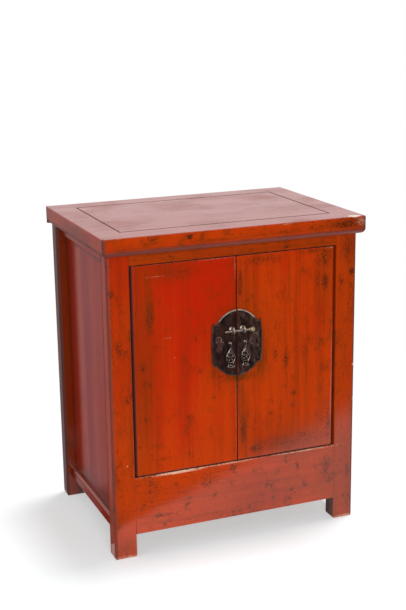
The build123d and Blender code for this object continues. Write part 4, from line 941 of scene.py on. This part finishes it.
def split_ring(sign, sizes):
    """A ring across the door, its collar, and the two legs bent over behind the door."""
    form = bmesh.new()
    centre = Vector((sign * sizes["x"], DOOR_FACE - sizes["reach"], sizes["z"]))
    thick = (sizes["ring"] - sizes["bore"]) / 2
    wire = bmesh.ops.create_circle(form, segments=20, radius=1.0)["verts"]
    bmesh.ops.scale(form, verts=wire, vec=(sizes["half"], thick, 1.0))
    bmesh.ops.rotate(form, verts=wire, cent=(0, 0, 0), matrix=Matrix.Rotation(radians(90), 3, "X"))
    move(form, wire, centre + Z * (sizes["bore"] + thick))
    bmesh.ops.spin(form, geom=wire + edges_of(wire), cent=centre, axis=X, angle=radians(360), steps=48,
                   use_merge=True)
    wide, high = sizes["collar"], COLLAR_HIGH
    collar = [(0.0, 0.0), (0.0, wide), (high * 0.25, wide * 0.98), (high * 0.6, wide * 0.85),
              (high * 0.85, wide * 0.66), (high, wide * 0.42), (high, 0.0)]
    seat = Vector((centre.x, PLATE_FIELD, centre.z))
    turned(form, collar, seat, -Y, Z)
    leg, clench = sizes["leg"], sizes["clench"]
    bar(form, (centre.x - leg, centre.y + sizes["ring"] - thick, centre.z - leg),
        (centre.x + leg, DOOR_REAR + leg, centre.z + leg))
    bar(form, (centre.x - leg, DOOR_REAR, centre.z - clench),
        (centre.x + leg, DOOR_REAR + leg, centre.z + clench))
    close(form)
    return form


for side, sign in SIDES.items():
    staple_brass = old_brass(f"staple_brass_{side}", STAPLE_BRASS, STAPLE_GRIME, 0.42, 0.7)
    loop_brass = old_brass(f"loop_brass_{side}", LOOP_BRASS, LOOP_GRIME, 0.40, 0.7)
    shape(f"{side}_ring_staple", split_ring(sign, STAPLES), f"{side}_door", f"{side}_staple",
          staple_brass)
    shape(f"{side}_loop_ring", split_ring(sign, LOOPS), f"{side}_door", f"{side}_pendant_loop",
          loop_brass)


# ---- the sliding pin ----
# A turned brass rod through both rings, with a beaded tail, a collar that stops it at the right
# ring, and a bud-shaped knob with eight facets riveted on its end.
PIN_BRASS = srgb(170, 156, 146)
PIN_GRIME = srgb(84, 68, 60)
KNOB_BRASS = srgb(182, 162, 128)
KNOB_GRIME = srgb(92, 74, 56)
PIN_AT = Vector((0.0, -0.2455, 0.5797))
# Each profile is pairs of a distance along the pin and a radius.
PIN_PROFILE = [(-0.0385, 0.0), (-0.0383, 0.0010), (-0.0372, 0.0018), (-0.0355, 0.0025),
               (-0.0335, 0.0029), (-0.0285, 0.0029), (-0.0270, 0.0027), (-0.0260, 0.0022),
               (-0.0230, 0.0022), (-0.0220, 0.0027), (-0.0210, 0.0029), (0.0275, 0.0029),
               (0.0283, 0.0036), (0.0289, 0.0043), (0.0298, 0.0046), (0.0307, 0.0046),
               (0.0316, 0.0042), (0.0321, 0.0034), (0.0321, 0.0)]
KNOB_PROFILE = [(0.0320, 0.0), (0.0320, 0.0040), (0.0330, 0.0052), (0.0350, 0.0066), (0.0380, 0.0070),
                (0.0410, 0.0069), (0.0435, 0.0058), (0.0452, 0.0040), (0.0460, 0.0022), (0.0460, 0.0)]
RIVET_PROFILE = [(0.0455, 0.0), (0.0455, 0.0017), (0.0464, 0.0015), (0.0468, 0.0008), (0.0468, 0.0)]
KNOB_FLATS = 8
KNOB_RIB = radians(24)
KNOB_ROUND = 0.0003
RIVET_STEPS = 24

rod = bmesh.new()
turned(rod, PIN_PROFILE, PIN_AT, X, Z)
close(rod)
pin_brass = old_brass("pin_brass", PIN_BRASS, PIN_GRIME, 0.42, 0.7)
shape("turned_pin", rod, "lock_pin", "lock_pin", pin_brass)

knob = bmesh.new()
turned(knob, KNOB_PROFILE, PIN_AT, X, Z, KNOB_FLATS)
ribs = [edge for edge in knob.edges if edge.calc_face_angle(0.0) > KNOB_RIB]
bmesh.ops.bevel(knob, geom=ribs, offset=KNOB_ROUND, segments=2, profile=0.5, affect="EDGES",
                material=-1)
turned(knob, RIVET_PROFILE, PIN_AT, X, Z, RIVET_STEPS)
close(knob)
knob_brass = old_brass("knob_brass", KNOB_BRASS, KNOB_GRIME, 0.42, 0.6)
shape("bud_knob", knob, "lock_pin", "lock_pin_knob", knob_brass)


# ---- the drop pendants ----
# Flat cast vases of openwork, hung by an eye from the loops. The casting has gone dark, and the
# wires that border its edge and its piercings stand up and stay bright.
CASTING = srgb(50, 36, 33)
CASTING_GRIME = srgb(26, 18, 17)
WIRE_BRASS = srgb(176, 158, 148)
WIRE_GRIME = srgb(66, 50, 46)
PENDANT_X = 0.0210
PENDANT_Y = -0.2420
PENDANT_HALF = 0.0010
PENDANT_ARRIS = 0.0003
# The wires of the right half and the piercings with their radii, each from the vase's middle line
# and the floor.
PENDANT_EDGE = [(0.0016, 0.5395), (0.0016, 0.5335), (0.0072, 0.5230), (0.0112, 0.5125), (0.0106, 0.5030),
                (0.0060, 0.4925), (0.0092, 0.4855)]
PENDANT_SOLE = [(0.0092, 0.4855), (0.0050, 0.4836), (0.0, 0.4832)]
PIERCINGS = [(0.0, 0.5220, 0.0022), (0.0066, 0.5135, 0.0024), (0.0048, 0.5035, 0.0019),
             (0.0, 0.5100, 0.0033), (0.0, 0.4890, 0.0019)]
CURLS = [[(0.0, 0.5290), (0.0030, 0.5265), (0.0046, 0.5205), (0.0036, 0.5180)],
         [(0.0, 0.4960), (0.0028, 0.4975), (0.0052, 0.4985)],
         [(0.0024, 0.4850), (0.0046, 0.4878), (0.0062, 0.4862)]]
EYE_AT = 0.5417
EYE_RADIUS = 0.0030
EYE_THICK = 0.0010
WIRE = 0.00055
THIN_WIRE = WIRE * 0.8


def round_wire(form, points, radius):
    """Adds a round wire that runs smoothly through some points."""
    run = bpy.data.curves.new("wire", "CURVE")
    run.dimensions = "3D"
    run.bevel_depth = radius
    run.bevel_resolution = 2
    run.use_fill_caps = True
    line = run.splines.new("BEZIER")
    line.resolution_u = 6
    line.bezier_points.add(len(points) - 1)
    for knot, point in zip(line.bezier_points, points):
        knot.co = point
        knot.handle_left_type = "AUTO"
        knot.handle_right_type = "AUTO"
    holder = bpy.data.objects.new("wire", run)
    scene.collection.objects.link(holder)
    bpy.context.view_layer.update()
    mesh = bpy.data.meshes.new_from_object(holder.evaluated_get(bpy.context.evaluated_depsgraph_get()))
    form.from_mesh(mesh)
    bpy.data.objects.remove(holder)
    bpy.data.curves.remove(run)
    bpy.data.meshes.remove(mesh)


def wire_ring(form, centre, radius, thick):
    """Adds a ring of round wire that faces the front."""
    section = bmesh.ops.create_circle(form, segments=10, radius=thick)["verts"]
    move(form, section, centre + X * radius)
    bmesh.ops.spin(form, geom=section + edges_of(section), cent=centre, axis=Y, angle=radians(360),
                   steps=20, use_merge=True)


def pendant_wires(sign):
    """The wires on both faces of one pendant, and the eye it hangs by."""
    form = bmesh.new()
    hang = Vector((sign * PENDANT_X, PENDANT_Y, 0.0))
    for face in (-PENDANT_HALF, PENDANT_HALF):
        for mirrored in (-1, 1):
            for run in [PENDANT_EDGE, PENDANT_SOLE, *CURLS]:
                round_wire(form, [hang + Vector((mirrored * x, face, z)) for x, z in run], WIRE)
        for x, z, radius in PIERCINGS:
            for mirrored in ((-1, 1) if x else (1,)):
                wire_ring(form, hang + Vector((mirrored * x, face, z)), radius, THIN_WIRE)
    wire_ring(form, hang + Z * EYE_AT, EYE_RADIUS, EYE_THICK)
    close(form)
    return form


for side, sign in SIDES.items():
    coat(f"{side}_pendant", old_brass(f"pendant_brass_{side}", CASTING, CASTING_GRIME, 0.50, 0.7))
    soften(f"{side}_pendant", PENDANT_ARRIS)
    wire_brass = old_brass(f"wire_brass_{side}", WIRE_BRASS, WIRE_GRIME, 0.40, 0.7)
    shape(f"{side}_pendant_wires", pendant_wires(sign), f"{side}_pendant", None,
          wire_brass)
